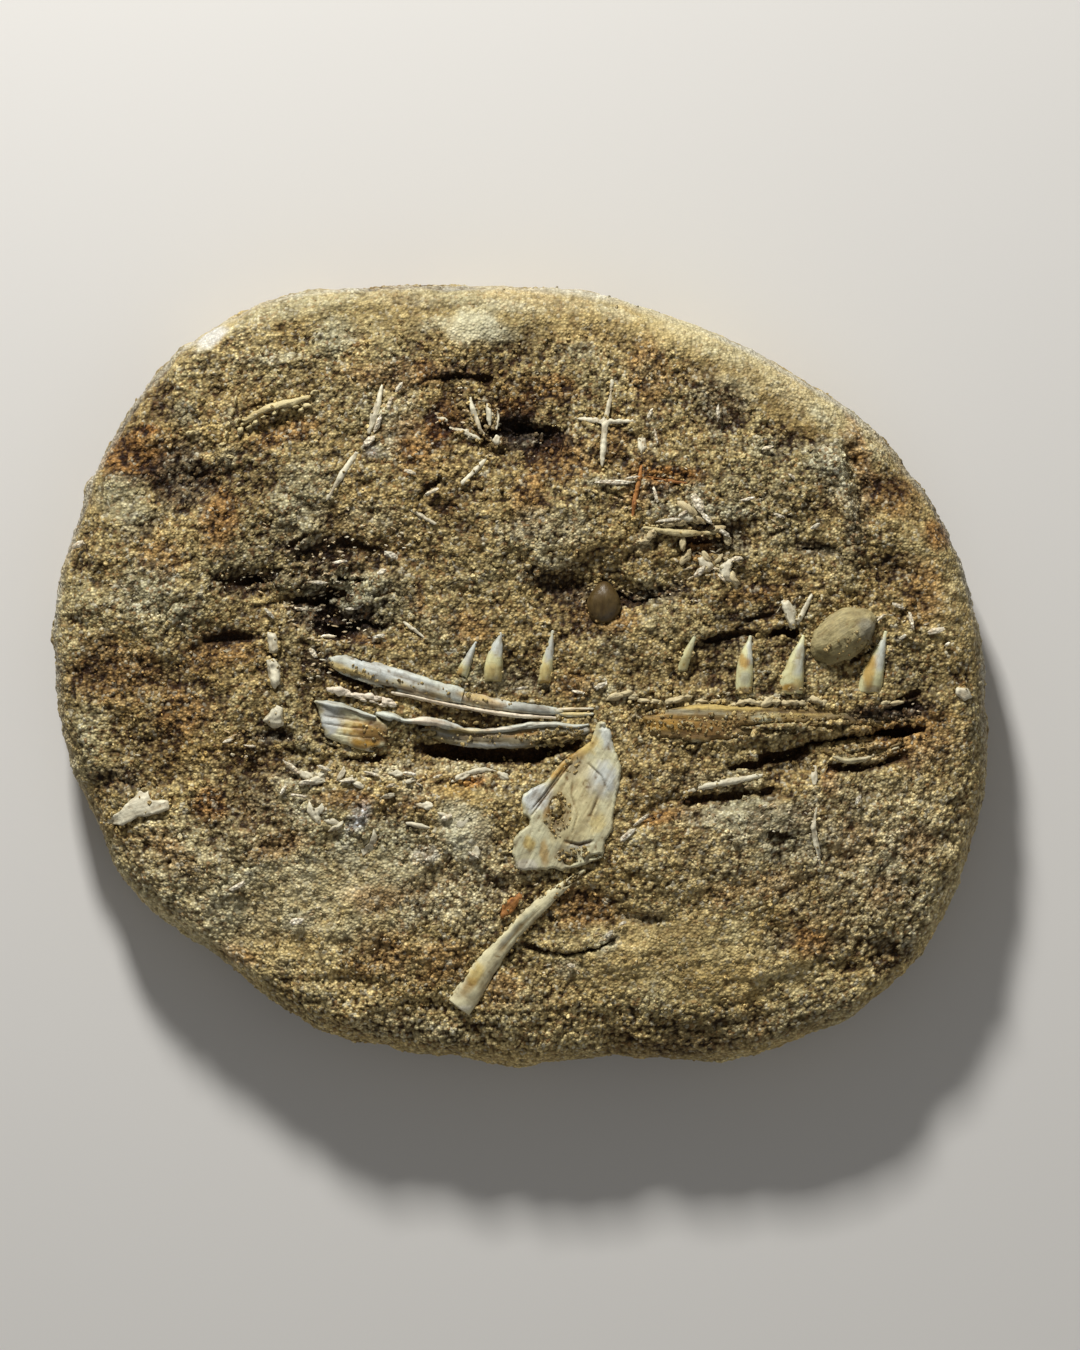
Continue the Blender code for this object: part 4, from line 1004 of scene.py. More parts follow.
# %% [markdown]
# ## The sawn back
# The back isn't seen in the photo. Slabs like this are sawn flat so that they stand on an easel,
# so the back is a flat sheet that shares its outer points with the side. Five points of the
# fine edge go to one point of the coarser sheet, because a flat sheet needs few points. The saw
# marks are shallow enough to be left to the material.

# %% Make the back
BACK_INSET = 0.985
SAWN_SAND = (0.42, 0.34, 0.20)

share, angle, back_quads, back_border = disc_grid(BACK_CELLS)
back_reach = BACK_INSET * share * reach_at(angle, PROBE_HEIGHTS[0])
back_points = np.stack([back_reach * np.cos(angle), back_reach * np.sin(angle), 0 * angle], -1)
outer = net[-BORDER:]
every = BORDER // len(back_border)
back_faces = [list(quad[::-1]) for quad in (back_quads + BORDER)]
for k, inner in enumerate(back_border):
    after = back_border[(k + 1) % len(back_border)]
    arc = [(k * every + step) % BORDER for step in range(every + 1)]
    back_faces.append([int(inner) + BORDER, *arc, int(after) + BORDER][::-1])
back_all = np.concatenate([outer, back_points])


def make_sawn(name):
    """Sand cut flat: grains shown by colour only, with the marks of the saw."""
    material, shader = new_material(name)
    place = add_node(material, "ShaderNodeTexCoord").outputs["Object"]
    wash = from_mesh(material, "tint", "Color")
    grain = add_node(material, "ShaderNodeTexVoronoi", {"Vector": place, "Scale": 900.0})
    shade = add_node(material, "ShaderNodeSeparateColor", {"Color": grain.outputs["Color"]})
    cloud = noise(material, place, 60.0, 5.0)
    marks = add_node(material, "ShaderNodeTexWave", {
        "Vector": place, "Scale": 210.0, "Distortion": 1.5, "Detail": 3.0}).outputs["Fac"]
    colour = multiply(material, wash, grey_range(material, shade.outputs[0], 0.6, 1.4))
    colour = multiply(material, colour, grey_range(material, cloud, 0.7, 1.3, 0.3, 0.7))
    colour = multiply(material, colour, grey_range(material, marks, 0.88, 1.08))
    join(material, colour, shader, "Base Color")
    join(material, grey_range(material, shade.outputs[1], 0.6, 0.95), shader, "Roughness")
    join(material, bump(material, marks, 0.35, 0.0003), shader, "Normal")
    return material


make_piece("slab_back", back_all, back_faces, make_sawn("sawn_sand"), ("matrix",),
           {"tint": paint(back_all, SAWN_SAND, [])}, smooth=False)
print("back faces:", len(back_faces))

# %% [markdown]
# ## Loose grains
# Some grains stand clear of the rest, and sand still clings along the edges of the bones. Each
# of these is a small rough ball with twenty sides, half sunk in the surface. They take their
# colour from the sand where they lie, a little lighter or darker.

# %% Tools for small balls
BALL_POINTS = 12
GOLD = (1 + 5**0.5) / 2
BALL = np.array([
    (-1, GOLD, 0), (1, GOLD, 0), (-1, -GOLD, 0), (1, -GOLD, 0), (0, -1, GOLD), (0, 1, GOLD),
    (0, -1, -GOLD), (0, 1, -GOLD), (GOLD, 0, -1), (GOLD, 0, 1), (-GOLD, 0, -1), (-GOLD, 0, 1),
]) / math.hypot(1, GOLD)
BALL_FACES = np.array([
    (0, 11, 5), (0, 5, 1), (0, 1, 7), (0, 7, 10), (0, 10, 11), (1, 5, 9), (5, 11, 4),
    (11, 10, 2), (10, 7, 6), (7, 1, 8), (3, 9, 4), (3, 4, 2), (3, 2, 6), (3, 6, 8), (3, 8, 9),
    (4, 9, 5), (2, 4, 11), (6, 2, 10), (8, 6, 7), (9, 8, 1)])


def luck(count, seed):
    """A row of fixed random numbers from 0 to 1."""
    places = np.stack([np.arange(count), np.full(count, seed), np.zeros(count)], axis=-1)
    return chance(places, 900 + seed)


def balls(middles, sizes, seed):
    """Rough balls at the given middles, each turned and squashed in its own way."""
    count = len(middles)
    dents = np.stack([luck(count * BALL_POINTS, seed + k) for k in range(3)], -1)
    shape = BALL[None] * (1 + 0.5 * (dents.reshape(count, BALL_POINTS, 3) - 0.5))
    squash = 0.7 + 0.6 * np.stack([luck(count, seed + 10 + k) for k in range(3)], -1)
    shape = shape * squash[:, None, :] * sizes[:, None, None]
    x, y = turned(shape[..., 0], shape[..., 1], 360 * luck(count, seed + 20)[:, None])
    points = (np.stack([x, y, shape[..., 2]], -1) + middles[:, None]).reshape(-1, 3)
    faces = (BALL_FACES[None] + BALL_POINTS * np.arange(count)[:, None, None]).reshape(-1, 3)
    return points, faces


def make_grains(name, points, faces, colours, tones, shade_and_dirt, rugged):
    """Many small balls as one piece of sand, each with one colour and one tone."""
    count = len(colours) * BALL_POINTS
    values = {"tint": np.repeat(colours, BALL_POINTS, axis=0), "tone": np.repeat(tones, BALL_POINTS),
              "shade_and_dirt": np.full(count, shade_and_dirt), "rugged": np.full(count, rugged)}
    make_piece(name, points, faces.tolist(), sand_material, ("matrix",), values,
               smooth=False)


def scatter(name, middles, sizes, colours, seed):
    points, faces = balls(middles, sizes, seed)
    shade = (0.75 + 0.9 * luck(len(middles), seed + 30) ** 2)[:, None]
    make_grains(name, points, faces, colours * shade, luck(len(middles), seed + 31), 0.12, 0.8)


print("a ball has", len(BALL), "points and", len(BALL_FACES), "faces")

# %% Scatter the loose grains
FIELD_GRAINS = 4200
EDGE_GRAINS = 1500

final_normal = outward(net, net_quads)
pick = (luck(2 * FIELD_GRAINS, 1) * (len(net) - BORDER * 3)).astype(int)
calm = np.concatenate([
    np.clip((0.96 - disc_share) / 0.05, 0, 1), np.full(SIDE_ROWS * BORDER, 0.35)])
kept = luck(2 * FIELD_GRAINS, 2) * 1.7 < rough[pick] * (1 - under_bone[pick]) * calm[pick]
pick = pick[kept][:FIELD_GRAINS]
size = (0.3 + 0.55 * luck(len(pick), 3) ** 4) * (0.6 + 0.4 * calm[pick])
middles = net[pick] + final_normal[pick] * (0.25 * size)[:, None]
scatter("grains_on_slab", middles, size, tint[pick], 100)

rows, columns = np.nonzero((bone_cover > 0.12) & (bone_cover < 0.6))
pick = (luck(EDGE_GRAINS, 4) * len(rows)).astype(int)
x = GRID_X[columns[pick]] + STEP * (luck(EDGE_GRAINS, 5) - 0.5)
y = GRID_Y[rows[pick]] + STEP * (luck(EDGE_GRAINS, 6) - 0.5)
size = 0.28 + 0.5 * luck(EDGE_GRAINS, 7) ** 2
middles = np.stack([x, y, read(sand_base, x, y) + 0.25 * luck(EDGE_GRAINS, 8)], axis=-1)
scatter("grains_by_bones", middles, size, paint(middles, SAND, WASHES) * 1.1, 200)
print("loose grains:", FIELD_GRAINS + EDGE_GRAINS)

# %% [markdown]
# ## Splinters of shell
# The sand is full of tiny pale splinters, thickest in the rough hollows, where they lie level in
# their layers. They are the same balls drawn out long and flat. The groups follow the places
# where the eye finds them on the real slab.

# %% Scatter the splinters
STAINED_SHELL = (0.62, 0.45, 0.22)
# Groups: x, y, half length, half width, turn, number, splinter length
SPLINTER_GROUPS = [
    (-46, 17, 16, 9, 0, 110, 1.5), (-38, -26, 18, 4, 0, 46, 1.3), (-72, -18, 7, 4, 0, 20, 1.2),
    (-95, 18, 11, 7, -20, 40, 1.3), (46, 28, 9, 5, 0, 26, 1.5), (69, 16, 5, 4, 40, 16, 1.3),
    (64, 45, 12, 8, 0, 50, 1.2), (31, 47, 9, 6, 0, 22, 1.3), (-58, 30, 14, 7, 0, 40, 1.2),
    (22, -67, 5, 3, 40, 14, 1.3), (11, -75, 6, 4, 0, 14, 1.2), (60, -37, 14, 4, 5, 28, 1.3),
    (75, -40, 2, 10, 0, 20, 1.2), (96, 12, 8, 6, 0, 20, 1.3), (-34, 36, 12, 6, 0, 26, 1.3),
    (-74, 24, 10, 5, 0, 26, 1.2), (30, 20, 16, 4, 0, 30, 1.2), (-20, 66, 16, 8, 0, 26, 1.2),
    (-24, -47, 8, 4, 30, 18, 1.3), (0, 0, 105, 85, 0, 330, 0.9), (-53, 2, 5, 7, 0, 16, 1.4),
    (-60, -62, 12, 6, 25, 16, 1.2), (45, -72, 30, 14, 0, 24, 1), (97, -48, 5, 12, 0, 18, 1.2),
]


def spots_in_oval(cx, cy, half_length, half_width, turn, count, seed):
    """Places strewn evenly over an oval."""
    away, around = np.sqrt(luck(count, seed)), math.tau * luck(count, seed + 1)
    x, y = turned(half_length * away * np.cos(around), half_width * away * np.sin(around), turn)
    return cx + x, cy + y


def splinters(name, rows, seed, lift=0.3, pale=(0.74, 0.69, 0.52), stained=1.0):
    """Long flat grains from rows of x, y, half length, half width, half height and turn."""
    rows = np.array(rows, float)
    count = len(rows)
    points, faces = balls(np.zeros((count, 3)), np.ones(count), seed)
    shape = points.reshape(count, BALL_POINTS, 3) * rows[:, None, 2:5]
    x, y = turned(shape[..., 0], shape[..., 1], rows[:, 5:6])
    tilt = 0.25 * shape[..., 0] * (luck(count, seed + 3) - 0.5)[:, None]
    z = shape[..., 2] + tilt + (read(sand_base, rows[:, 0], rows[:, 1])
                                + read(face_rise, rows[:, 0], rows[:, 1]) + lift)[:, None]
    shade = (0.8 + 0.4 * luck(count, seed + 5))[:, None]
    warm = stained * luck(count, seed + 6)[:, None]
    colour = shade * (np.array(pale) * (1 - warm) + np.array(STAINED_SHELL) * warm)
    points = np.stack([x + rows[:, None, 0], y + rows[:, None, 1], z], -1).reshape(-1, 3)
    make_grains(name, points, faces, colour, np.full(count, 0.6), 0.0, 0.5)


rows = []
for number, (*oval, count, length) in enumerate(SPLINTER_GROUPS):
    seed = 300 + 7 * number
    long_side = 0.5 * length * (0.5 + luck(count, seed + 2) ** 2)
    rows += np.stack([*spots_in_oval(*oval, count, seed), long_side,
                      0.18 + 0.22 * luck(count, seed + 3) * long_side, np.full(count, 0.22),
                      oval[4] + 70 * (luck(count, seed + 4) - 0.5)], axis=-1).tolist()
splinters("shell_splinters", rows, 700)
print("splinters:", len(rows))

# %% [markdown]
# ## Slivers
# Between the splinters lie larger slivers of shell and bone that the eye picks out one by one.
# Chance would put them in the wrong places, so each is listed one by one. They stand higher than
# the splinters, and they are paler, or the grains round them would hide them.

# %% Place the slivers: x, y, length, width, turn
SLIVERS = [
    (-58, -24, 5, 1.1, -35), (-55, -27.6, 4.6, 1, 12), (-60.5, -29.6, 3.6, 1, 60),
    (-56.4, -31, 3.4, 0.9, -10), (-50, -24, 4.4, 0.9, -20), (-44, -27.2, 4, 0.8, 5),
    (-38, -25.4, 4.6, 0.8, -8), (-33, -28.4, 3.4, 0.8, 15), (-28, -25.4, 3.4, 0.8, -10),
    (-21, -26, 3, 0.7, 20), (-69, -18.4, 3.4, 0.8, -10), (-74.5, -17, 2.6, 0.8, 20),
    (38, 39.2, 7, 1.1, 3), (45.4, 43.2, 4.6, 1.6, -60), (47.6, 39.6, 3.6, 1.2, -40),
    (34.4, 45.6, 5.6, 0.9, -75), (41.6, 41, 4, 1, 24), (52, 36, 4, 0.9, -30),
    (-36.4, 63.6, 5.4, 1.2, 62), (-33.4, 68.6, 4.6, 1, 76), (-31, 73, 3.4, 0.8, 60),
    (-38.6, 59.4, 4, 1.4, 40), (-28, 51.4, 4.6, 0.9, -12), (-22.6, 46.4, 4.6, 0.8, 24),
    (50.4, 66.6, 5.6, 1.1, 88), (24.4, 48.8, 9, 0.9, -4), (28.4, 50, 4, 0.8, 8),
    (34.6, 60.4, 5.4, 0.7, -78), (33, 66.4, 3.2, 0.8, 64), (96.4, 17.4, 4.6, 1.1, -20),
    (99.8, 13.4, 4, 1, -75), (97.6, 9.4, 3.4, 0.9, 30), (92, 14.4, 3.6, 0.9, 40),
    (106, 11, 4.6, 1.5, 25), (109, 7.6, 3, 1, 40), (-113, 33, 3.4, 1.8, 50), (-64, 15.4, 4.6, 1, -35),
    (-53, 5.4, 3.4, 1.1, -60), (-32.8, 30.2, 5.4, 1.3, -22), (-35.4, 26, 3.4, 0.9, 30),
    (-29.4, 22, 5.4, 0.9, 80), (-46, 28.6, 4, 0.8, 6), (-52, 23.4, 4.6, 0.8, -6), (-42, 17, 5, 0.8, 8),
    (-56, 16.6, 3.6, 0.8, -12), (-36, 9.6, 3.6, 0.9, 10), (-49, 9.6, 4, 0.8, -4),
    (63, 57.6, 3.4, 1, 20), (69.4, 50.2, 3.4, 0.8, -30), (58, 44.6, 3.6, 0.8, 15),
    (66, 40.4, 3, 0.8, -20), (75, 37.6, 3.4, 0.8, 30), (45.6, 26, 4.6, 1.1, 40),
    (51.4, 24.4, 3.4, 0.9, -50), (55, 29.4, 3, 0.9, 10), (22.6, -66.4, 3.6, 1.2, 55),
    (26, -63.6, 2.6, 0.9, 30), (13, -74.4, 3, 1.4, 0), (27.4, -41, 4.6, 1.1, 40),
    (31, -37, 5.4, 0.8, 35), (-18.6, -36.4, 3.4, 1.1, 20), (-12, -46, 3.6, 1.1, -30),
    (-57, -63, 3.4, 1.8, 20), (-72, -54, 5, 1, 30), (0.6, -3.6, 3.4, 0.9, 14), (14.6, -4.6, 4, 0.8, -8),
    (20.6, -3, 3.4, 1, 24), (86, -32, 2.8, 0.8, 70),
]
SLIVER_HALF_HEIGHT = 0.55
rows = [(x, y, length / 2, 0.65 * width, SLIVER_HALF_HEIGHT, turn)
        for x, y, length, width, turn in SLIVERS]
splinters("shell_slivers", rows, 800, lift=1.25, pale=(0.88, 0.84, 0.68), stained=0.35)
print("slivers:", len(SLIVERS))

# %% [markdown]
# ## How a bone is laid
# A long bone is drawn as a few sections, each with its place, its width and how far it stands
# out of the sand. A smooth curve runs through them and an oval ring is set at each step. The
# rings are joined, rounded off at both ends, and then worn: long fibres along the bone, softer
# wear across it, and listed seams and steps. Each point also remembers how far along and
# across the bone it lies, so that the material's fibres follow the bone round its curves.

# %% Tools for long bones
def smooth_path(sections, spacing):
    """Sections set evenly along a smooth curve through the drawn ones."""
    rows = np.array(sections, float)
    steps = np.diff(rows[:, :2], axis=0)
    lengths = np.concatenate([[0], np.cumsum(np.hypot(steps[:, 0], steps[:, 1]))])
    slope = np.gradient(rows, lengths, axis=0)
    at = np.linspace(0, lengths[-1], max(8, int(lengths[-1] / spacing)) + 1)
    i = np.clip(np.searchsorted(lengths, at, side="right") - 1, 0, len(rows) - 2)
    span = (lengths[i + 1] - lengths[i])[:, None]
    t = (at - lengths[i])[:, None] / span
    curve = ((2 * t**3 - 3 * t**2 + 1) * rows[i] + (t**3 - 2 * t**2 + t) * span * slope[i]
             + (3 * t**2 - 2 * t**3) * rows[i + 1] + (t**3 - t**2) * span * slope[i + 1])
    return np.maximum(curve, [-999, -999, 0.15, 0.1]), at


def lay_rings(sections, sides=20, spacing=0.35, blunt=(0.5, 0.5), sink=1.1, power=1.0):
    """Rings of points along a bone, the squares between them, and the way along and across."""
    path, at = smooth_path(sections, spacing)
    slope = np.gradient(path[:, :2], axis=0)
    along = slope / np.hypot(slope[:, 0], slope[:, 1])[:, None]
    ground = read(sand_base, path[:, 0], path[:, 1])
    caps = np.sin(np.linspace(0.12, 0.98, 5) * math.pi / 2)
    start = [(path[0], along[0], ground[0], at[0] - blunt[0] * math.sqrt(1 - c * c), c) for c in caps]
    body = list(zip(path, along, ground, at, np.ones(len(path))))
    end = [(path[-1], along[-1], ground[-1], at[-1] + blunt[1] * math.sqrt(1 - c * c), c)
           for c in caps[::-1]]
    turn = math.tau * (np.arange(sides) + 0.5) / sides
    cosine, sine = np.cos(turn), np.sin(turn)
    round_off = np.sign(sine) * np.abs(sine) ** power
    points, way = [], []
    for section, direction, base, place, full in start + body + end:
        x, y, width, rise = section
        push = place - min(max(place, at[0]), at[-1])
        across = cosine * width / 2 * full
        up = np.where(sine > 0, rise * full, sink) * round_off
        points.append(np.stack([x + direction[0] * push - direction[1] * across,
                                y + direction[1] * push + direction[0] * across,
                                base + up], axis=-1))
        way.append(np.stack([np.full(sides, place), across, up], axis=-1))
    count = len(points)
    index = np.arange(count * sides).reshape(count, sides)
    after = np.roll(index, -1, axis=1)
    quads = np.stack([index[:-1], after[:-1], after[1:], index[1:]], axis=-1).reshape(-1, 4)
    fans = []
    for ring, flip in ((index[0], True), (index[-1], False)):
        for k in range(1, sides - 1):
            three = (ring[0], ring[k], ring[k + 1])
            three = three[::-1] if flip else three
            fans.append((*three, three[2]))
    quads = np.concatenate([quads, np.array(fans)])
    return np.concatenate(points), quads, np.concatenate(way)


print("a curve of", len(smooth_path([(0, 0, 1, 1), (10, 2, 2, 1)], 0.35)[0]), "sections")

# %% Wear, stain and finish a bone
COVER_SINK = 1.5   # how far a bone dips where sand lies over it


def weather(points, quads, way, fibre, wear, seed):
    """Pushes a bone's surface in and out: long fibres, soft wear and small pits."""
    threads = swells(way * (0.12, 1.0, 1.0) + 50, 0.9, seed, 3)
    worn = swells(points, 2.4, seed + 5, 3)
    pits = np.clip(swells(points, 0.8, seed + 9, 2) - 0.35, 0, 1)
    rise = fibre * 2 * threads + wear * 2 * worn - 0.5 * wear * 3 * pits
    # Painted shade and dirt: darker in the pits and between the raised fibres and wear.
    shade_and_dirt = np.clip(0.12 - 0.7 * threads - 0.5 * worn + 1.6 * pits, 0, 1)
    return points + outward(points, quads) * rise[:, None], shade_and_dirt


def add_bone(name, node, points, quads, way, look, fibre, wear, seed,
             lumps=(), grooves=(), ledges=()):
    """Finishes a bone: wear, listed marks, stains, and the piece itself."""
    ground_colour, material, slot = LOOKS[look]
    points, shade_and_dirt = weather(points, quads, way, fibre, wear, seed)
    marks = np.zeros(len(points))
    for add, rows in ((add_lump, lumps), (add_groove, grooves), (add_ledge, ledges)):
        for row in rows:
            add(marks, points[:, 0], points[:, 1], row)
    # Grooves and other low marks on the bone get painted shade and dirt.
    shade_and_dirt = np.clip(shade_and_dirt + np.clip(-1.2 * marks, 0, 0.9), 0, 1)
    marks -= COVER_SINK * sand_over(points)[0]
    points = points + np.stack([0 * marks, 0 * marks, marks], axis=-1)
    colour = paint(points, ground_colour, BONE_WASHES, 1.6, seed + 3)
    faces = [list(quad[:3]) if quad[2] == quad[3] else list(quad) for quad in quads.tolist()]
    make_piece(name, points, faces, material, (node,),
               {"tint": colour, "shade_and_dirt": shade_and_dirt, "way": way})


print("bones dip", COVER_SINK, "mm where sand lies over them")

# %% [markdown]
# ## The look of bone and tooth
# Fossil bone keeps its fibres, takes up stains from the ground and cracks across as it dries.
# One recipe serves all the bones: the colour painted on the mesh, streaks that follow the bone,
# dark hair cracks, and painted shade and dirt in the pits. Teeth get a clear coat, because enamel stays
# glossy.

# %% Make the bone materials
def make_bone(name, gloss, streak, shade_and_dirt_colour, coat=0.0, relief=0.3):
    """Bone with streaks along it. Gloss is the lowest and highest roughness."""
    material, shader = new_material(name)
    place = add_node(material, "ShaderNodeTexCoord").outputs["Object"]
    wash = from_mesh(material, "tint", "Color")
    drawn = add_node(material, "ShaderNodeVectorMath", {
        0: from_mesh(material, "way", "Vector"), 1: (0.1, 1.0, 1.0)}, operation="MULTIPLY").outputs[0]
    fibres = noise(material, drawn, 2.2, 6.0, 0.75)
    cloud = noise(material, place, 420.0, 6.0, 0.7)
    cells = add_node(material, "ShaderNodeTexVoronoi", {"Vector": place, "Scale": 330.0},
                     feature="DISTANCE_TO_EDGE").outputs["Distance"]
    colour = multiply(material, wash, grey_range(material, fibres, 1 - streak, 1 + streak, 0.3, 0.7))
    colour = multiply(material, colour, grey_range(material, cloud, 0.82, 1.15, 0.3, 0.7))
    colour = multiply(material, colour, grey_range(material, cells, 0.8, 1.0, 0.0, 0.03))
    # Painted shade and dirt in the pits and grooves of the bone.
    painted_shade_and_dirt = blend(material, from_mesh(material, "shade_and_dirt"), (1.0, 1.0, 1.0), shade_and_dirt_colour)
    join(material, multiply(material, colour, painted_shade_and_dirt), shader, "Base Color")
    join(material, grey_range(material, cloud, *gloss, 0.3, 0.7), shader, "Roughness")
    fine = bump(material, cloud, relief, 0.0003, bump(material, fibres, relief, 0.0004))
    join(material, fine, shader, "Normal")
    shader.inputs["Coat Weight"].default_value = coat
    shader.inputs["Coat Roughness"].default_value = 0.12
    return material


print("one recipe for bone")

# %% Mix the looks: colour, material and slot
# Colour of the painted shade and dirt on the jaw bones.
BROWN_SHADE_AND_DIRT = (0.30, 0.20, 0.11)
jaw_material = make_bone("jaw_bone_skin", (0.35, 0.65), 0.15, BROWN_SHADE_AND_DIRT)
brown_material = make_bone("brown_bone_skin", (0.45, 0.85), 0.4, (0.2, 0.14, 0.08), relief=0.6)
tooth_material = make_bone("tooth_enamel", (0.12, 0.3), 0.12, (0.5, 0.36, 0.18), 0.5, 0.12)
pale_material = make_bone("pale_bone_skin", (0.5, 0.8), 0.2, (0.36, 0.26, 0.15))
ochre_material = make_bone("ochre_bone_skin", (0.6, 0.9), 0.25, (0.36, 0.26, 0.12), relief=0.5)
rust_material = make_bone("rust_bone_skin", (0.6, 0.9), 0.3, (0.3, 0.18, 0.1), relief=0.5)
pebble_material = make_bone("pebble_skin", (0.5, 0.8), 0.35, (0.45, 0.34, 0.2), relief=0.9)
dark_pebble_material = make_bone("dark_pebble_skin", (0.25, 0.45), 0.2, (0.5, 0.4, 0.3))
LOOKS = {
    "jaw": ((0.62, 0.65, 0.56), jaw_material, "jaw_bone"),
    "plate": ((0.68, 0.65, 0.42), jaw_material, "jaw_bone"),
    "ridge": ((0.86, 0.76, 0.58), jaw_material, "jaw_bone"),
    "blade_face": ((0.29, 0.25, 0.15), jaw_material, "jaw_bone"),
    "brown": ((0.30, 0.20, 0.06), brown_material, "brown_bone"),
    "strip_rim": ((0.80, 0.72, 0.48), brown_material, "brown_bone"),
    "tooth": ((0.72, 0.70, 0.40), tooth_material, "enamel"),
    "pale": ((0.76, 0.71, 0.53), pale_material, "pale_bone"),
    "blade": ((0.76, 0.70, 0.44), pale_material, "pale_bone"),
    "ridge_pale": ((0.84, 0.74, 0.58), pale_material, "pale_bone"),
    "crumb": ((0.66, 0.56, 0.33), ochre_material, "ochre_bone"),
    "ochre": ((0.68, 0.58, 0.31), ochre_material, "ochre_bone"),
    "rust": ((0.46, 0.20, 0.05), rust_material, "rust_bone"),
    "pebble": ((0.45, 0.38, 0.185), pebble_material, "pebble"),
    "dark": ((0.10, 0.065, 0.022), dark_pebble_material, "dark_pebble"),
}
print("bone looks:", len(LOOKS))

# %% [markdown]
# ## Stains on the bones
# The bones took up iron and manganese from the sand, most of all where they are cracked or
# thin. The stains are washes like those on the sand, with colours of their own, and their edges
# are broken more finely because bone is denser than sand.

# %% Colours of the stains
WASH_COLOURS |= {
    "blue": (0.62, 0.66, 0.65), "amber": (0.50, 0.27, 0.03), "straw": (0.74, 0.56, 0.18),
    "olive": (0.30, 0.25, 0.10), "steel": (0.36, 0.36, 0.31), "pink": (0.90, 0.78, 0.61),
    "black": (0.055, 0.038, 0.02), "brown": (0.20, 0.12, 0.04),
    "earth": (0.33, 0.25, 0.12), "sea": (0.52, 0.55, 0.40),
}
print("colours:", len(WASH_COLOURS))

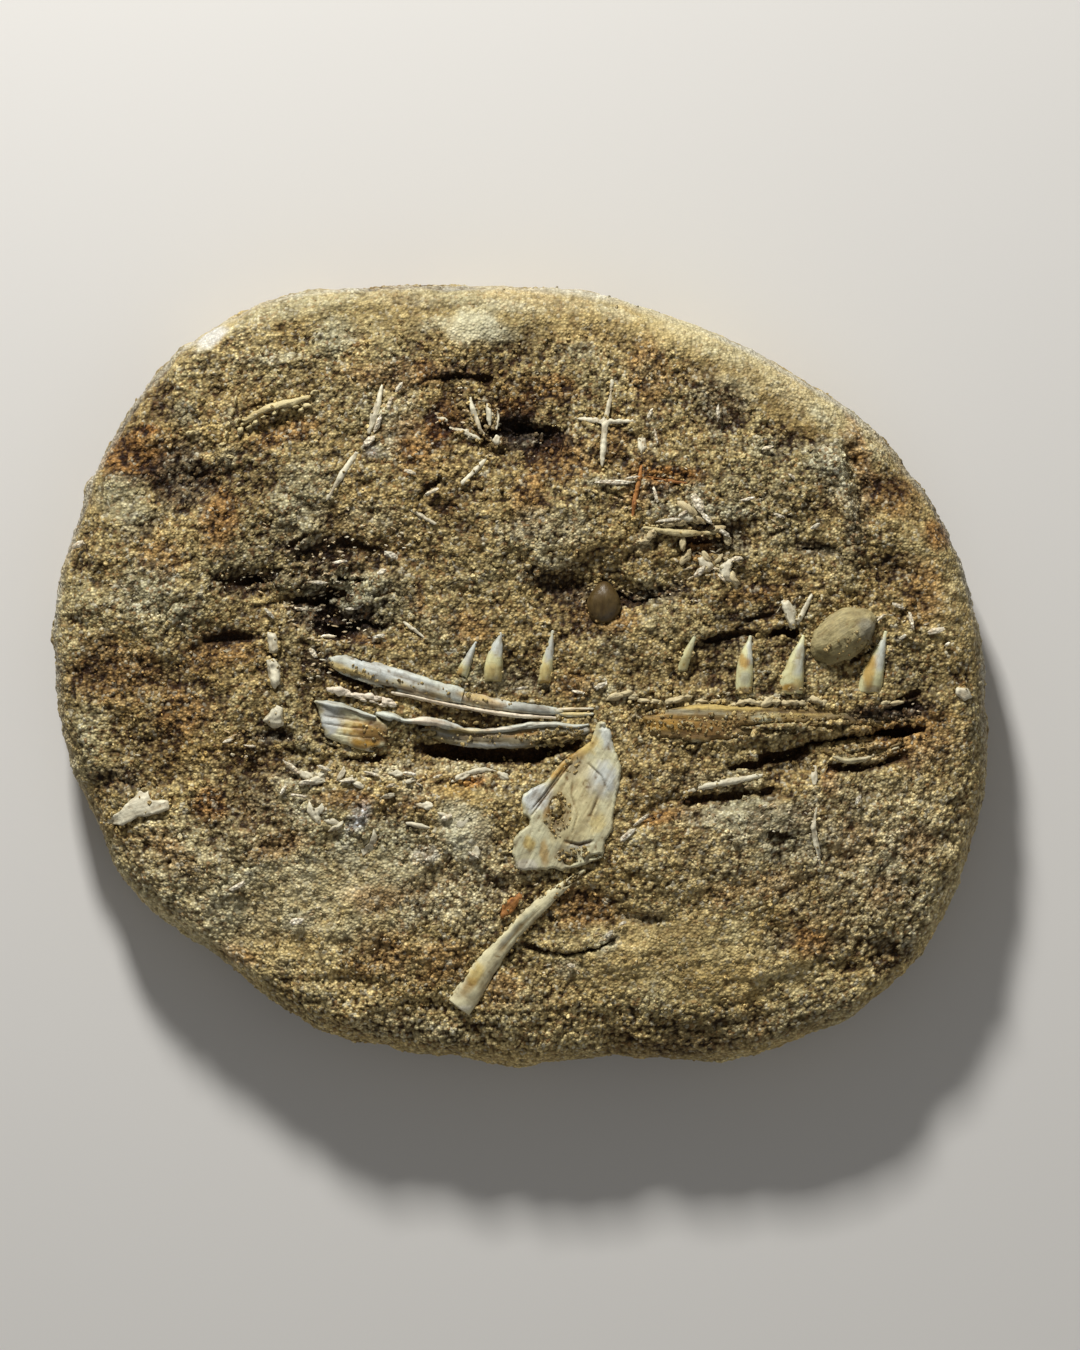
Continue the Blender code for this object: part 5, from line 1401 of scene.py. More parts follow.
# %% Stains: colour, x, y, half length, half width, turn in degrees, strength
BONE_WASHES = [
    # upper jaw
    ("sea", -47, 4.6, 5, 1.2, -15, 0.6), ("straw", -46, 1.6, 7, 1, -16, 0.7),
    ("earth", -38, -1.4, 7, 0.9, -18, 0.7), ("amber", -27, -4.4, 6.5, 1, -17, 0.55),
    ("straw", -31, -2.2, 3, 0.8, -17, 0.5), ("steel", -35, -1, 5, 1, -18, 0.5),
    ("straw", -20, -5.9, 4, 0.7, -15, 0.5), ("amber", -9.5, -6.8, 6.6, 1.9, -12, 0.6),
    ("straw", -10.5, -6, 5, 0.6, -12, 0.6), ("olive", -10, -7.8, 5, 0.5, -12, 0.6),
    ("straw", -42, 0.2, 6, 0.7, -17, 0.6), ("blue", -35, 1, 13, 1.7, -17, 0.6),
    ("steel", 2.4, -8.6, 6, 1.6, -7, 0.85), ("straw", 14, -9.4, 4.5, 1.6, -3, 0.8),
    ("pink", 14, -8.9, 5, 0.5, 0, 0.6),
    # lower jaw
    ("steel", -48.5, -10.8, 6, 0.7, -8, 0.4), ("straw", -43, -13.5, 5, 2, -12, 0.55),
    ("blue", -48.6, -11.4, 3.2, 4.4, 0, 0.85), ("amber", -38.3, -15.2, 5.8, 3.2, -8, 0.9),
    ("brown", -37, -12.6, 4, 1, -20, 0.6), ("brown", -38.5, -15.6, 5, 2.6, -10, 0.6),
    ("amber", -40.5, -17.8, 3.4, 1.2, -10, 0.8), ("brown", -34.2, -16, 1.8, 3.4, 0, 0.8),
    ("pink", -23.6, -12, 5.4, 1.3, -8, 0.95), ("white", -37.6, -19.4, 1.8, 0.7, 0, 0.95),
    ("straw", -13, -14.4, 5, 0.8, 0, 0.6), ("steel", -20, -15.6, 5, 0.7, -8, 0.8),
    ("olive", -22, -16.4, 4, 1.2, -10, 0.7), ("brown", -7, -15.8, 10, 0.7, 0, 0.6),
    ("blue", -9, -18.2, 10, 0.6, 1, 0.8), ("white", -20.5, -12.1, 6, 0.6, -10, 0.7),
    ("white", 4, -12.5, 8, 0.5, 3, 0.5), ("pink", -6, -14, 6, 0.5, 2, 0.5),
    ("blue", -16, -12.9, 5, 0.6, -14, 0.5), ("amber", 1.5, -15.2, 5, 0.8, 6, 0.75),
    ("earth", 8, -16.8, 6.5, 1.5, 8, 0.95), ("steel", 15.8, -14.8, 1.8, 1.5, 20, 0.7),
    ("steel", -8, -19.2, 13, 0.6, 2, 0.6),
    # front bone and the strip below the crack
    ("straw", 50, -8.6, 14, 0.9, -2, 0.7), ("sea", 44, -9.8, 12, 0.8, -2, 0.55),
    ("amber", 42, -12.6, 13, 2.4, -2, 0.75), ("rust", 48, -14.6, 9, 1.8, -3, 0.6),
    ("brown", 40, -15.8, 10, 1.5, -2, 0.5), ("sea", 62.5, -11.2, 4.5, 1.5, 0, 0.75),
    ("straw", 70, -10.6, 12, 0.7, 0, 0.55), ("cream", 43.5, -17.8, 3.6, 0.7, 8, 0.9),
    # The black wash at the front bone's right end is dark stain and painted shade.
    ("black", 92, -10.8, 12, 1.6, 2, 0.9), ("olive", 84, -10, 6, 0.5, 3, 0.6),
    ("brown", 76, -11.6, 10, 1.6, 0, 0.5), ("brown", 46, -12, 14, 3, -2, 0.35),
    ("earth", 78, -12.6, 8, 2, 0, 0.8), ("earth", 60, -15.4, 9, 1.5, 0, 0.7),
    ("brown", 56, -13, 5, 1.2, 0, 0.4), ("earth", 88, -18.4, 10, 1.6, 6, 0.9),
    ("cream", 84, -21.8, 5, 0.9, -12, 0.95), ("straw", 93, -20.4, 5, 0.8, 14, 0.7),
    # teeth: bluish tips and stained roots
    ("blue", -12.2, 6, 2.4, 3.6, -25, 0.85), ("amber", -15.6, 0.4, 0.9, 1.6, -20, 0.7),
    ("blue", -5.6, 7.8, 2.4, 3.6, -10, 0.85), ("straw", -6.9, 0.4, 2.8, 3.2, 0, 0.55),
    ("olive", -7.4, -1.4, 2.6, 1.4, 0, 0.5), ("straw", 6.4, 0, 1.9, 3, 0, 0.6),
    ("blue", 8, 7, 1.6, 4, -10, 0.85), ("amber", 6, -2.2, 1.6, 1, 0, 0.6),
    ("olive", 41.8, 2, 1.8, 3.2, -12, 0.65), ("sea", 43.8, 7.6, 1.4, 2.2, -20, 0.5),
    ("blue", 58.8, 6, 1.4, 4, -5, 0.7), ("amber", 56.8, 3, 1.5, 2.2, 0, 0.75),
    ("steel", 57.2, -1, 1.6, 1.8, 0, 0.5), ("amber", 57.2, -4.2, 1.8, 1, 0, 0.6),
    ("blue", 71.4, 4, 1.6, 5, -8, 0.6), ("amber", 68.2, -3.4, 2.4, 1.2, 10, 0.9),
    ("straw", 70.6, -2.6, 1.6, 1.6, 0, 0.6), ("blue", 92.2, 5.4, 1.4, 5, -12, 0.75),
    ("amber", 89, 0.6, 1.6, 4.6, -8, 0.75), ("brown", 89.8, -4, 2.4, 1.2, 0, 0.6),
    # plate
    ("blue", 4.6, -31.4, 4.2, 3.8, 40, 0.9), ("blue", 20.8, -27, 4.2, 4.6, 0, 0.8),
    ("blue", 22, -15.6, 1.6, 4, 12, 0.7), ("steel", 14, -24, 2.4, 3.4, -30, 0.5),
    ("amber", 14.6, -20.4, 5.6, 1.6, 35, 0.7), ("amber", 10, -24.6, 3.2, 1.1, 45, 0.8),
    ("straw", 17.4, -18, 2.6, 2.6, 0, 0.6), ("earth", 9.4, -35.6, 2.6, 4.6, -8, 0.8),
    ("brown", 8.8, -39.4, 1.6, 2, 20, 0.45), ("steel", 11.8, -46.8, 1.8, 2, 10, 0.6),
    ("amber", 6, -45, 1.2, 3.6, 0, 0.6), ("straw", 2.4, -43, 1.6, 2, 0, 0.8),
    ("straw", 13.6, -33, 7.5, 13, 0, 0.3), ("amber", 11, -21.6, 5.5, 2.2, 48, 0.5),
    ("earth", 12.6, -30, 9, 15, 0, 0.12), ("straw", 19.8, -38, 2, 3, -30, 0.5),
    ("white", 1.8, -48.4, 3.4, 1.6, 0, 0.8), ("steel", 15.6, -43.4, 4, 0.9, 14, 0.7),
    ("amber", 7.6, -34, 1, 3.6, -35, 0.5), ("cream", 23, -36, 1.6, 4, 0, 0.5),
    # blade bone and its neighbours
    ("sea", -1, -65.4, 7, 1.2, 50, 0.6), ("steel", -3.6, -67.6, 4, 0.8, 50, 0.5),
    ("straw", -11, -76.6, 4, 1.8, 55, 0.8), ("amber", -13, -79.6, 2.6, 1.4, 50, 0.5),
    ("earth", 12.4, -53, 5, 1, 42, 0.5), ("white", -15.6, -85.6, 3.6, 1, 12, 0.7),
    # pebbles
    ("steel", 88.6, 11.2, 3, 3.4, 30, 0.6), ("olive", 76.4, 4.2, 5, 2.4, 30, 0.6),
    ("olive", 82, 7, 9, 7, 30, 0.2), ("earth", 80, 1.4, 6, 1.4, 20, 0.7),
]
print("stains:", len(BONE_WASHES))

# %% [markdown]
# ## The upper jaw
# The long rod left of the middle is one jaw bone seen from its side. Its blue-grey outer shell
# ends in a blunt step, and under it a thinner brown part and a grey taper carry on to the right.
# A thin pinkish ridge runs along its lower edge. The steps are real, so the bone is laid as
# overlapping parts rather than one rod with painted borders.

# %% Lay the upper jaw: x, y, width, rise
UPPER_SHELL = [
    (-48.4, 3.2, 2.6, 0.7), (-45.4, 2.6, 4.8, 1.7), (-39.6, 0.9, 5.8, 2.2), (-30.8, -1.6, 5.7, 2.3),
    (-22.7, -3.9, 5.2, 2.2), (-16, -5.3, 4.4, 2), (-14.8, -5.6, 4.2, 1.9),
]
UPPER_STEP = [
    (-17, -5.6, 3, 1.4), (-13.6, -6.3, 3.5, 1.6), (-9.5, -7.1, 3.3, 1.5), (-5, -7.9, 3, 1.5),
    (-3.4, -8.1, 2.7, 1.4),
]
UPPER_TAPER = [
    (-5.8, -7.8, 2.6, 1.3), (-1, -8.5, 3, 1.6), (4, -9, 2.8, 1.5), (8, -9.4, 2.1, 1.2),
    (10.6, -9.5, 1, 0.8),
]
UPPER_TAIL = [(9.6, -9.1, 0.8, 0.8), (13, -8.9, 0.9, 0.8), (18.4, -8.8, 0.5, 0.5)]
UPPER_TAIL_LOW = [(9, -10, 0.7, 0.6), (13, -10.3, 1.2, 0.7), (18.2, -10.2, 0.6, 0.5)]
UPPER_RIDGE = [
    (-32.6, -4.7, 0.8, 1.1), (-27.8, -5.6, 1.2, 1.6), (-22.7, -6.8, 1.3, 1.7), (-15.5, -8.3, 1.3, 1.7),
    (-10.4, -9.2, 1.2, 1.6), (-5.2, -10, 1.2, 1.6), (-0.1, -10.6, 1.2, 1.5), (5, -10.9, 1, 1.3),
    (9.6, -11.2, 0.7, 0.8),
]

add_bone("upper_jaw_shell", "upper_jaw_bone",
         *lay_rings(UPPER_SHELL, 28, 0.3, (0.9, 0.15), power=0.75), "jaw", 0.06, 0.13, 301,
         grooves=[(0.5, 0.35, [(-34, 0.4), (-27, -1.9), (-20, -3.6)]),
                  (0.6, 0.5, [(-34, -3), (-28, -4.3), (-18, -6.6)])],
         ledges=[(0.35, 1.5, [(-18, -5.2), (-26, -3), (-33, -1.2)])])
add_bone("upper_jaw_step", "upper_jaw_bone", *lay_rings(UPPER_STEP, 22), "jaw", 0.09, 0.16, 311)
add_bone("upper_jaw_taper", "upper_jaw_bone", *lay_rings(UPPER_TAPER, 22, blunt=(0.2, 0.4)), "jaw",
         0.05, 0.08, 321)
add_bone("upper_jaw_tail", "upper_jaw_bone", *lay_rings(UPPER_TAIL, 12), "jaw", 0.04, 0.1, 331)
add_bone("upper_jaw_tail_low", "upper_jaw_bone", *lay_rings(UPPER_TAIL_LOW, 12), "jaw", 0.04, 0.1, 336)
add_bone("upper_jaw_ridge", "upper_jaw_bone", *lay_rings(UPPER_RIDGE, 14), "ridge", 0.04, 0.12, 341)
print("upper jaw laid in 6 parts")

# %% [markdown]
# ## Flat bones
# A flat bone is drawn by its outline. A fine square grid is laid over it, the squares inside are
# kept, and the points at the border are moved onto the drawn line, which is first made ragged.
# The top is rounded near the edge and a wall goes down into the sand all round.

# %% Tools for flat bones
def ragged_outline(outline, seed, rough_edge):
    """The drawn outline with many more corners, pushed in and out a little."""
    corners = np.array(outline, float)
    after = np.roll(corners, -1, axis=0)
    points = []
    for start, end in zip(corners, after):
        count = max(1, int(np.hypot(*(end - start)) / 0.4))
        points += [start + (end - start) * k / count for k in range(count)]
    points = np.array(points)
    flat = np.concatenate([points, np.zeros((len(points), 1))], axis=1)
    push = np.stack([swells(flat, 1.3, seed, 2), swells(flat, 1.3, seed + 4, 2)], axis=-1)
    return points + rough_edge * push


def to_outline(x, y, outline):
    """For each place: signed distance to the outline (above 0 inside) and the nearest point."""
    best = np.full(x.shape, 1e9)
    near_x, near_y = np.zeros(x.shape), np.zeros(x.shape)
    crossings = np.zeros(x.shape, int)
    for start, end in zip(outline, np.roll(outline, -1, axis=0)):
        step = end - start
        part = np.clip(((x - start[0]) * step[0] + (y - start[1]) * step[1]) / (step @ step), 0, 1)
        px, py = start[0] + part * step[0], start[1] + part * step[1]
        far = np.hypot(x - px, y - py)
        closer = far < best
        best = np.where(closer, far, best)
        near_x, near_y = np.where(closer, px, near_x), np.where(closer, py, near_y)
        if step[1] != 0:
            cut = start[0] + (y - start[1]) / step[1] * step[0]
            crossings += ((start[1] > y) != (end[1] > y)) & (x < cut)
    return np.where(crossings % 2 == 1, best, -best), near_x, near_y


def lay_sheet(outline, rise, round_edge, cell=0.3, seed=1, rough_edge=0.25, direction=0.0,
              slope=(0.0, 0.0)):
    """A flat bone inside an outline: points, squares and the way along and across it."""
    line = ragged_outline(outline, seed, rough_edge)
    low, high = line.min(0) - cell, line.max(0) + cell
    xs, ys = np.arange(low[0], high[0] + cell, cell), np.arange(low[1], high[1] + cell, cell)
    x, y = (grid.ravel() for grid in np.meshgrid(xs, ys, indexing="ij"))
    inside, near_x, near_y = to_outline(x, y, line)
    index = np.arange(len(x)).reshape(len(xs), len(ys))
    quads = grid_squares(index)
    quads = quads[(inside[quads] > 0).sum(1) >= 3]
    edges = np.concatenate([quads[:, [a, (a + 1) % 4]] for a in range(4)])
    codes = edges[:, 0] * len(x) + edges[:, 1]
    border = edges[~np.isin(codes, edges[:, 1] * len(x) + edges[:, 0])]
    rim = np.unique(border)
    x[rim], y[rim], inside[rim] = near_x[rim], near_y[rim], 0.0
    middle_x, middle_y = line.mean(0)
    bend = 1 - np.clip(inside / round_edge, 0, 1)
    top = rise * (0.35 + 0.65 * np.sqrt(1 - bend**2))
    top += slope[0] * (x - middle_x) + slope[1] * (y - middle_y)
    z = read(sand_base, x, y) + top
    foot = len(x)
    place = np.full(len(x), -1)
    place[rim] = np.arange(len(rim)) + foot
    walls = np.stack([border[:, 1], border[:, 0], place[border[:, 0]], place[border[:, 1]]], -1)
    points = np.concatenate([np.stack([x, y, z], -1),
                             np.stack([x[rim], y[rim], z[rim] - top[rim] - 1.2], -1)])
    quads = np.concatenate([quads, walls])
    used, quads = np.unique(quads, return_inverse=True)
    points, quads = points[used], quads.reshape(-1, 4)
    way = np.stack([*turned(points[:, 0], points[:, 1], -direction), points[:, 2]], -1)
    return points, quads, way


square = ragged_outline([(0, 0), (4, 0), (4, 4), (0, 4)], 1, 0.2)
print("a ragged square has", len(square), "corners")

# %% [markdown]
# ## The lower jaw
# The lower jaw starts in a flared end at the left, where the muscle was tied. A narrow bright
# ridge runs from it to the right, and a deeper grey blade hangs below the ridge, with sand still
# stuck to its right part. The flare is a flat bone and the rest are long ones.

# %% Lay the lower jaw
FLARE = [
    (-52.9, -6.7), (-50.8, -6.9), (-44.4, -7.9), (-41.1, -9.6), (-36.7, -11), (-33.9, -12.8),
    (-32.9, -15.1), (-33.4, -16.9), (-34.3, -18.9), (-37.5, -19.9), (-41.1, -19), (-43.6, -18.5),
    (-47.7, -17), (-49.8, -15.9), (-50.6, -13.8), (-51.1, -11.3), (-51.7, -8.7),
]
FLARE_RIM = [
    (-52, -7.1, 0.9, 1.9), (-48, -7.9, 2, 2.5), (-44, -8.8, 1.8, 2.5), (-40, -10.2, 1.3, 2.3),
    (-37, -11, 0.8, 2),
]
NODULE = [
    (-36.4, -10.2, 1.2, 1.7), (-34.4, -10.6, 2.3, 2.5), (-31.8, -11.3, 2.1, 2.4),
    (-30.2, -11.8, 1.2, 1.9),
]
LOWER_RIDGE = [
    (-31, -11.8, 1.1, 1.8), (-28.6, -12, 1.3, 2), (-25.7, -11.9, 1.9, 2.4), (-21.6, -12.3, 2.3, 2.5),
    (-17.5, -13.3, 2, 2.3), (-14.5, -14.2, 1.2, 1.9), (-9.3, -14.5, 1.3, 1.9), (-4.2, -14.1, 1.5, 2),
    (-0.1, -13.4, 1.7, 2.1), (5, -12.9, 1.6, 2.1), (10.1, -13, 1.6, 2), (14.6, -13.4, 1.4, 1.7),
    (17.2, -12.9, 0.8, 1.2),
]
LOWER_BLADE = [
    (-25, -14.4, 1.4, 0.7), (-21, -15, 3.4, 1.2), (-17.5, -15.8, 4.2, 1.5), (-10.4, -16.5, 4.6, 1.7),
    (-2.7, -16.4, 5.2, 1.8), (4.5, -15.8, 5.8, 1.8), (10.1, -15.3, 5, 1.7), (14.6, -14.7, 3.6, 1.5),
    (17.2, -14.2, 2, 1.1),
]

add_bone("lower_jaw_flare", "lower_jaw_bone",
         *lay_sheet(FLARE, 1.5, 1.6, 0.28, 401, 0.2, -8, (0, 0.03)), "plate", 0.09, 0.1, 401,
         lumps=[(-45, -11, 6, 1.2, -10, -0.35), (-38, -15.5, 4, 2.5, 0, 0.3)],
         grooves=[(0.4, 0.35, [(-50.6, -10.6), (-45, -11.4), (-40, -12.2)]),
                  (0.35, 0.3, [(-50.4, -12.6), (-44, -13.6), (-38, -14)]),
                  (0.35, 0.3, [(-48, -15), (-42, -16), (-36, -16.4)])])
add_bone("lower_jaw_rim", "lower_jaw_bone", *lay_rings(FLARE_RIM, 16), "jaw", 0.06, 0.16, 411)
add_bone("lower_jaw_nodule", "lower_jaw_bone", *lay_rings(NODULE, 18), "jaw", 0.04, 0.14, 421)
add_bone("lower_jaw_ridge", "lower_jaw_bone", *lay_rings(LOWER_RIDGE, 18), "jaw", 0.05, 0.16, 431,
         grooves=[(0.4, 0.4, [(-1, -14.6), (2, -13.2), (5, -12.4)])])
add_bone("lower_jaw_blade", "lower_jaw_bone", *lay_rings(LOWER_BLADE, 26), "blade_face", 0.12, 0.22, 441,
         grooves=[(0.45, 0.4, [(-20, -16.2), (-10, -17.2), (2, -17.4)])])
print("lower jaw laid in 5 parts")

# %% [markdown]
# ## The front bone and the strip below it
# Right of the middle the jaw goes on as a broad brown bone, lying almost level with the sand. It
# is layered: pale seams and dark lines run along it, and sand covers its lower edge. Past it a
# narrow strip lies below an open crack, sandy on top with a pale lower rim.

# %% Lay the front bone
FRONT = [
    (27.8, -12.8, 2, 0.5), (35, -12.8, 6.4, 1.1), (44, -13.2, 10.6, 1.7), (53, -13.2, 10.4, 1.7),
    (62, -12.5, 8.8, 1.6), (72, -12, 7.4, 1.4), (81, -11.9, 5.4, 1.1), (92, -12.2, 2.6, 0.8),
    (100.4, -12, 1, 0.5),
]
STRIP = [
    (77.8, -19.3, 1.4, 0.7), (81.5, -20, 3.4, 1.3), (86, -20, 4.4, 1.7), (91, -19, 3.2, 1.4),
    (97, -17.7, 1.2, 0.7),
]
STRIP_RIM = [
    (80.2, -21.2, 0.9, 0.9), (83, -22, 1.5, 1.2), (86.5, -21.8, 1.4, 1.3), (91, -20.6, 1, 1),
    (96.4, -18.8, 0.6, 0.6),
]

add_bone("front_bone_fine", "jaw_front_bone", *lay_rings(FRONT, 44, 0.32, power=0.8), "brown",
         0.16, 0.14, 501,
         grooves=[(0.6, 0.5, [(38, -9.4), (50, -9.6), (66, -9.6), (82, -10)]),
                  (0.5, 0.45, [(34, -11), (46, -11.6), (56, -11.2)]),
                  (0.5, 0.4, [(36, -14.6), (46, -16), (54, -15.6)]),
                  (0.6, 0.5, [(84, -11), (92, -11.6), (99, -11.8)]),
                  (0.5, 0.4, [(58, -13), (68, -12.6), (78, -13.2)])],
         ledges=[(0.4, 1.5, [(84, -10.4), (66, -8.9), (50, -8.9), (38, -9)]),
                 (0.35, 1.5, [(70, -14.4), (56, -15), (40, -15.6)])])
add_bone("strip_fine", "jaw_edge_splinter", *lay_rings(STRIP, 22), "brown", 0.1, 0.2, 511)
add_bone("strip_rim", "jaw_edge_splinter", *lay_rings(STRIP_RIM, 12), "strip_rim", 0.05, 0.2, 521)
print("front bone and strip laid")

# %% [markdown]
# ## Teeth
# Seven teeth stand with their tips up the face. They are slender cones, a little flattened, with
# faint lines from root to tip. The roots are uneven and go into the sand.

# %% Set the teeth
TEETH = [
    [(-15.4, -1.8, 2.6, 0.3), (-14.9, -0.4, 2.9, 1.2), (-14.2, 1.6, 2.9, 1.6), (-13.2, 4, 2.3, 1.4),
     (-12.1, 6.5, 1.3, 0.9), (-11.4, 8, 0.8, 0.5)],
    [(-7.1, -3.2, 4, 0.3), (-7, -1.6, 4.5, 1.5), (-6.9, 1, 4.9, 2.2), (-6.5, 4, 4.3, 2.1),
     (-5.9, 7, 2.9, 1.5), (-5.3, 9.4, 1.3, 0.8), (-5.1, 10.3, 1, 0.5)],
    [(5.8, -3.2, 2.9, 0.3), (6.1, -1.6, 3.3, 1.2), (6.5, 0.8, 3.5, 1.7), (7.1, 4.2, 2.7, 1.4),
     (7.8, 7.8, 1.6, 1), (8.3, 10.8, 1, 0.5)],
    [(41, -0.6, 2.2, 0.2), (41.3, 1, 2.5, 0.9), (41.9, 3.2, 2.6, 1.1), (42.8, 5.8, 2.2, 1.1),
     (43.8, 8, 1.4, 0.8), (44.4, 9.4, 1, 0.5)],
    [(56.9, -5.9, 4, 0.2), (57, -4, 4.2, 1.2), (57.1, -1, 4.4, 1.8), (57.4, 2.6, 4, 1.8),
     (57.9, 6, 2.6, 1.3), (58.5, 8.6, 1.1, 0.8), (58.7, 9.5, 1, 0.5)],
    [(69.2, -6, 5.2, 0.2), (69.1, -4.2, 5.9, 1.4), (69.3, -1.6, 6, 2.2), (70, 1.8, 5, 2.1),
     (70.9, 5.2, 3.3, 1.6), (71.8, 8.2, 1.5, 0.9), (72.1, 9.6, 1, 0.5)],
    [(89, -6.2, 5, 0.2), (89.1, -4.2, 5.7, 1.3), (89.6, -1.4, 5.9, 2.1), (90.6, 2.2, 4.8, 2),
     (91.8, 5.8, 3.2, 1.5), (92.8, 8.8, 1.5, 0.9), (93.3, 10.7, 1, 0.5)],
]
for number, sections in enumerate(TEETH, start=1):
    add_bone(f"tooth_{number}_fine", f"tooth_{number}", *lay_rings(sections, 22, 0.25, (0.5, 0.4)),
             "tooth", 0.03, 0.05, 600 + 10 * number)
print("teeth set:", len(TEETH))

# %% [markdown]
# ## The plate
# The fan-shaped plate below the jaw is thin bone, broken at its edges and worn through in the
# middle, where the sand shows. Two seams run from its upper edge to the left, and a curved crack
# crosses its right half. Crumbs of dark sand sit along its lower right edge.

# %% Lay the plate
PLATE = [
    (19.7, -12), (21.7, -12), (22.8, -13.9), (23.4, -17.2), (24.4, -20.3), (25.7, -23.4), (25.5, -26.7),
    (24.8, -30), (24, -34.5), (23.4, -39.5), (21.7, -42.3), (21.4, -45.1), (20.9, -46.8), (18.4, -47.6),
    (16.7, -48.7), (13.3, -49.4), (10.5, -50.2), (8.9, -49.5), (6.1, -49.9), (2.2, -50), (-1, -50),
    (-1.6, -47.8), (-1.9, -45.6), (-1.7, -42.3), (-0.3, -40), (2.2, -38.5), (2.3, -37), (0.6, -35.6),
    (0.4, -32.8), (0.8, -30.6), (2.8, -29.2), (6.4, -27.5), (8.1, -25.6), (10, -22.8), (12.8, -20.6),
    (16.1, -18.6), (18.1, -16.7), (19, -13.9),
]
add_bone("plate_fine", "plate_bone", *lay_sheet(PLATE, 1.3, 0.8, 0.27, 701, 0.25, 62), "plate",
         0.07, 0.09, 701,
         lumps=[(9.4, -35.4, 2.6, 4.4, -8, -0.7), (11.8, -47, 1.8, 2, 10, -0.5),
                (14, -24, 2, 2.6, -30, -0.5), (3, -43, 2.6, 4, 0, 0.3),
                (20, -27, 4, 4, 0, 0.35), (18, -37, 3, 4, 0, 0.25)],
         grooves=[(0.5, 0.6, [(13.6, -21.6), (8, -29), (2.4, -36.6)]),
                  (0.5, 0.5, [(11.8, -23), (6.4, -30.2), (2.6, -35)]),
                  (0.45, 0.6, [(17, -22.6), (20.6, -26), (22.4, -30.4)]),
                  (0.4, 0.4, [(13.4, -26), (13, -31), (14.6, -36), (13, -41)]),
                  (0.8, 0.6, [(11, -42.6), (15, -43.6), (19, -42.4)]),
                  (0.5, 0.4, [(20, -31), (18, -36), (18.6, -41)])],
         ledges=[(0.4, 1.2, [(14.6, -30), (13.6, -34), (12, -40), (13.4, -45)])])
print("plate laid")

# %% [markdown]
# ## The long tapering bone
# Below the plate a long bone widens steadily to a blunt, broken end. A shallow channel runs down
# its middle, as in many fin spines.

# %% Lay the blade
BLADE = [
    (16.2, -50.1, 0.7, 0.5), (11.4, -53.8, 2.3, 0.9), (2.6, -61.3, 4, 1.3), (-3.8, -68.3, 4.3, 1.4),
    (-8.7, -74.5, 5.8, 1.6), (-12.6, -80.5, 6.7, 1.8), (-15.9, -84.8, 7, 1.8),
]
add_bone("blade_fine", "blade_bone", *lay_rings(BLADE, 26, 0.33, (0.4, 0.3)), "blade", 0.07, 0.12, 801,
         lumps=[(-1, -65.5, 8, 0.8, 50, -0.25)],
         grooves=[(0.6, 0.12, [(8, -57), (-1, -65.6), (-7, -72.6), (-13, -81.6)]),
                  (0.4, 0.3, [(-6, -73.6), (-10.6, -80), (-14, -85)])])
print("blade laid")

# %% [markdown]
# ## Pebbles
# Two smooth pebbles lie in the sand: an oval one by the last tooth, and a small flat brown one
# shaped like a drop. Each starts as an even ball that is drawn out along its own axes.

# %% Set the pebbles
PEBBLE_LIFT = 0.2


def even_ball(detail):
    """An even ball of triangles with a radius of one."""
    mesh = bmesh.new()
    bmesh.ops.create_icosphere(mesh, subdivisions=detail, radius=1.0)
    points = np.array([vert.co for vert in mesh.verts])
    faces = np.array([[vert.index for vert in face.verts] for face in mesh.faces])
    mesh.free()
    return points, np.concatenate([faces, faces[:, 2:]], axis=1)


def set_down(ball, x, y, turn, lift):
    """A ball's points turned and set on the sand at a place."""
    east, north = turned(ball[:, 0], ball[:, 1], turn)
    base = float(read(sand_base, x, y)) + lift
    return np.stack([x + east, y + north, base + ball[:, 2]], axis=-1)


def set_pebble(name, node, x, y, half_sizes, turn, look, point, seed, wear):
    ball, faces = even_ball(5)
    ball[:, 1] *= 1 - point * np.clip(ball[:, 0], 0, 1)
    ball = ball * half_sizes
    add_bone(name, node, set_down(ball, x, y, turn, PEBBLE_LIFT), faces, ball, look, 0.05, wear, seed)


set_pebble("oval_pebble_fine", "oval_pebble", 82.3, 9.9, (9.4, 6.1, 5.0), 33, "pebble", 0.0, 901, 0.35)
set_pebble("brown_pebble_fine", "brown_pebble", 21.3, 18.2, (5.5, 4.4, 3.1), 88, "dark", 0.35, 911, 0.1)
print("pebbles set")

# %% [markdown]
# ## Crusts of crumbs
# Beside the jaws lie rows of pale crumbs, what is left of bone that broke up. They are too
# lumpy for a rod, so each crumb is a ball of its own, drawn out, dented and turned.

# %% A tool for crumbs
def lay_crumbs(rows, seed):
    """Broken lumps from rows of x, y, half length, half width, height and turn."""
    points, quads, ways = [], [], []
    start = 0
    for number, (x, y, half_length, half_width, height, turn) in enumerate(rows):
        ball, faces = even_ball(3)
        ball = ball * (1 + 0.8 * swells(ball + 9.0 * number, 0.9, seed, 3))[:, None]
        ball = ball * (half_length, half_width, 0.8 * height)
        points.append(set_down(ball, x, y, turn, 0.2 * height))
        quads.append(faces + start)
        ways.append(ball)
        start += len(ball)
    return np.concatenate(points), np.concatenate(quads), np.concatenate(ways)


print("a crumb has", len(even_ball(3)[0]), "points")

